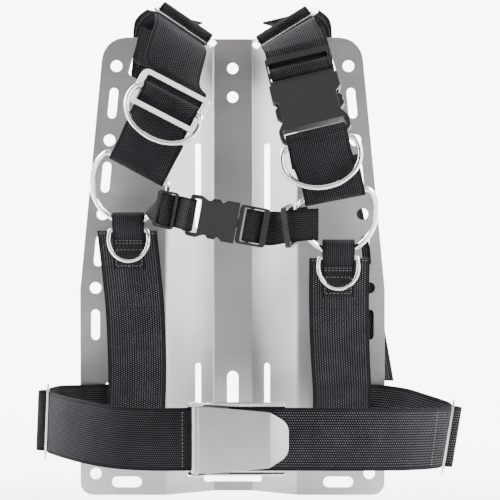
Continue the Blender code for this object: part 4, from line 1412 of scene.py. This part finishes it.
@dataclass
class WaistBelt:
    """The two halves of the waist belt with their adjusters and the cam buckle."""

    left_glide: Matrix = field(
        default_factory=lambda: frame_of(
            at(-157.2, 84, -126.2), Vector((0.04, 0, 1)), Vector((-1, -0.12, 0))
        )
    )
    right_glide: Matrix = field(
        default_factory=lambda: frame_of(
            at(181, 112, -136.2), Vector((0.16, 0, 1)), Vector((1, -0.1, 0))
        )
    )

    def leg(self, places: Iterable[tuple[float, float, float, float]]) -> list[Station]:
        """Stations from millimetres outwards, forward and up, and the lean of the width."""
        return [(at(x, f, z), Vector((lean, 0, 1))) for x, f, z, lean in places]

    def joined(
        self, front: list[Station], glide: list[Station], rear: list[Station]
    ) -> list[Station]:
        """One half's whole run.

        Args:
            front: The places in front of the adjuster.
            glide: The places through the adjuster.
            rear: The places behind it, which go through the plate's slot from the fourth on.

        Returns:
            The stations.
        """
        run = smooth_run([*front, glide[0]])[:-1] + glide[:-1]
        return run + smooth_run([glide[-1], *rear[:4]])[:-1] + rear[3:]

    def left_run(self) -> list[Station]:
        """The left half, from the buckle round to the plate."""
        z, x = BELT_Z, BELT_SLOT_X
        glide = along(self.left_glide, glide_path(4.2 * MM)[::-1])
        front = self.leg([(-31, 190, -130.4, 0), (-62, 189.5, -130.6, 0), (-92, 183, -129.8, 0.02)])
        front += self.leg([(-117, 163, -128.2, 0.06), (-138, 134, -126.8, 0.05)])
        rear = self.leg([(-155, 50, -126.6, 0.02), (-149, 22, -127.6, 0.0), (-138, 9, z, 0)])
        rear += self.leg([(-124, 3.4, z, 0), (-x - 2.6, 1.6, z, 0), (-x + 1.2, -3.6, z, 0)])
        rear += self.leg([(-x + 7, -4.8, z, 0), (-60, -4.8, z, 0)])
        return self.joined(front, glide, rear)

    def right_run(self) -> list[Station]:
        """The right half, from its loose end under the lever round to the plate."""
        z, x = BELT_Z, BELT_SLOT_X
        glide = along(self.right_glide, glide_path(4.2 * MM))
        front = self.leg([(-2, 190, -130.4, 0), (50, 190.6, -130.4, 0), (98, 188, -130.8, 0.01)])
        front += self.leg([(138, 174, -132.4, 0.05), (165, 148, -134.6, 0.12)])
        rear = self.leg([(178, 76, -135.4, 0.12), (166, 48, -133.2, 0.06), (150, 22, -130, 0.02)])
        rear += self.leg([(128, 4, z, 0), (x + 2.6, 1.4, z, 0), (x - 1.2, -3.6, z, 0)])
        rear += self.leg([(x - 7, -4.8, z, 0), (60, -4.8, z, 0)])
        return self.joined(front, glide, rear)

    def pieces(self) -> list[Piece]:
        """Every piece of the belt."""
        left_seam, right_seam = Seam((-23, 8), (23, 8), face=-1), Seam((-23, 182), (23, 182))
        cam = {"finish": POLISHED, "edge": 0.3 * MM}
        return [
            webbing(
                "belt_left_web",
                "waist_belt_left",
                self.left_run(),
                weave=Weave.SMOOTH,
                seams=(left_seam,),
            ),
            webbing("belt_right_web", "waist_belt_right", self.right_run(), seams=(right_seam,)),
            LeverLook("lever_look", ("waist_buckle_lever",), Slot.WIRE, Body.LEVER, finish=BRUSHED),
            HardPart("cam_frame_look", ("waist_buckle_frame",), Slot.WIRE, **cam),
            HardPart("cam_pin_look", ("waist_buckle_pin",), Slot.WIRE, **cam),
            adjuster("waist_left_tri_glide"),
            adjuster("waist_right_tri_glide"),
        ]


# ---- studio


@dataclass
class Studio:
    """The pale floor and backdrop, the soft lights and the camera."""

    floor_z: float = -0.21
    width: float = 6.0
    front: float = -2.6
    back: float = 1.1
    top: float = 3.0
    curve: float = 0.8
    curve_steps: int = 12
    fill: float = 0.09
    lens: float = 180.6
    eye: Triple = (0.01535, -2.233, 0.0956)
    aim: Triple = (0.01535, -0.033, 0.0149)

    def backdrop(self) -> bpy.types.Object:
        """The floor, curving up into the backdrop."""
        bm = bmesh.new()
        flat_end, r = self.back - self.curve, self.curve
        profile = [(self.front, self.floor_z), (flat_end, self.floor_z)]
        for k in range(1, self.curve_steps + 1):
            a = math.pi / 2 * k / self.curve_steps
            profile.append((flat_end + r * math.sin(a), self.floor_z + r * (1 - math.cos(a))))
        profile.append((self.back, self.top))
        rows = [[bm.verts.new((s * self.width / 2, y, z)) for s in (-1, 1)] for y, z in profile]
        for (a, b), (c, d) in zip(rows, rows[1:]):
            bm.faces.new((a, b, d, c)).smooth = True
        obj = mesh_object("studio_floor", bm)
        obj.data.materials.append(material_of(StudioFinish()))
        return obj

    def light(
        self,
        name: str,
        place: Sequence[float],
        size: tuple[float, float],
        power: float,
        aim: Sequence[float] = (0.0, -0.1, 0.02),
    ) -> bpy.types.Object:
        """A soft box.

        Args:
            name: The light's name.
            place: Where it stands.
            size: Its width and height.
            power: Its power in watts.
            aim: The point it faces.

        Returns:
            The light.
        """
        data = bpy.data.lights.new(name, "AREA")
        data.shape = "RECTANGLE"
        data.size, data.size_y = size
        data.energy = power
        obj = bpy.data.objects.new(name, data)
        bpy.context.scene.collection.objects.link(obj)
        obj.location = place
        obj.rotation_euler = (Vector(aim) - Vector(place)).to_track_quat("-Z", "Y").to_euler()
        return obj

    def camera(self) -> bpy.types.Object:
        """The camera, square on to the harness and a little above it."""
        data = bpy.data.cameras.new("view")
        data.lens, data.sensor_width = self.lens, 36.0
        obj = bpy.data.objects.new("view", data)
        bpy.context.scene.collection.objects.link(obj)
        obj.location = self.eye
        ahead = Vector(self.aim) - Vector(self.eye)
        obj.rotation_euler = ahead.to_track_quat("-Z", "Y").to_euler()
        bpy.context.scene.camera = obj
        return obj

    def add(self) -> None:
        """Builds the studio and keeps it out of the object."""
        world = bpy.data.worlds.new("studio_world")
        world.use_nodes = True
        sky = world.node_tree.nodes["Background"]
        sky.inputs["Color"].default_value = (1, 1, 1, 1)
        sky.inputs["Strength"].default_value = self.fill
        bpy.context.scene.world = world
        self.backdrop()
        self.light("key", (-0.1, -2.3, 1.3), (2.4, 0.9), 14)
        self.light("left_side", (-1.7, -0.75, 0.3), (0.9, 1.8), 40)
        self.light("right_side", (1.7, -0.75, 0.3), (0.9, 1.8), 36)
        self.light("right_strip", (1.04, -1.31, 0.1), (0.45, 1.5), 20, (0.04, -0.19, -0.13))
        self.light("top", (0.1, -0.5, 1.7), (1.6, 0.7), 9)
        self.light("backdrop_left", (-0.9, 0.25, 0.7), (0.8, 0.8), 90, (-0.3, 1.1, 0.2))
        self.light("backdrop_right", (0.9, 0.25, 0.7), (0.8, 0.8), 90, (0.3, 1.1, 0.2))
        self.camera()


def main() -> None:
    """Builds every sub-assembly in order and finishes the frame."""
    logging.basicConfig(level=logging.INFO, format="%(name)s: %(message)s")
    groups = (
        Backplate(),
        ShoulderStraps(),
        ReleaseBuckle("shoulder"),
        ChestStrap(),
        ReleaseBuckle("chest"),
        WaistBelt(),
    )
    for group in groups:
        for piece in group.pieces():
            piece.add()
    Studio().add()


if __name__ == "__main__":
    main()
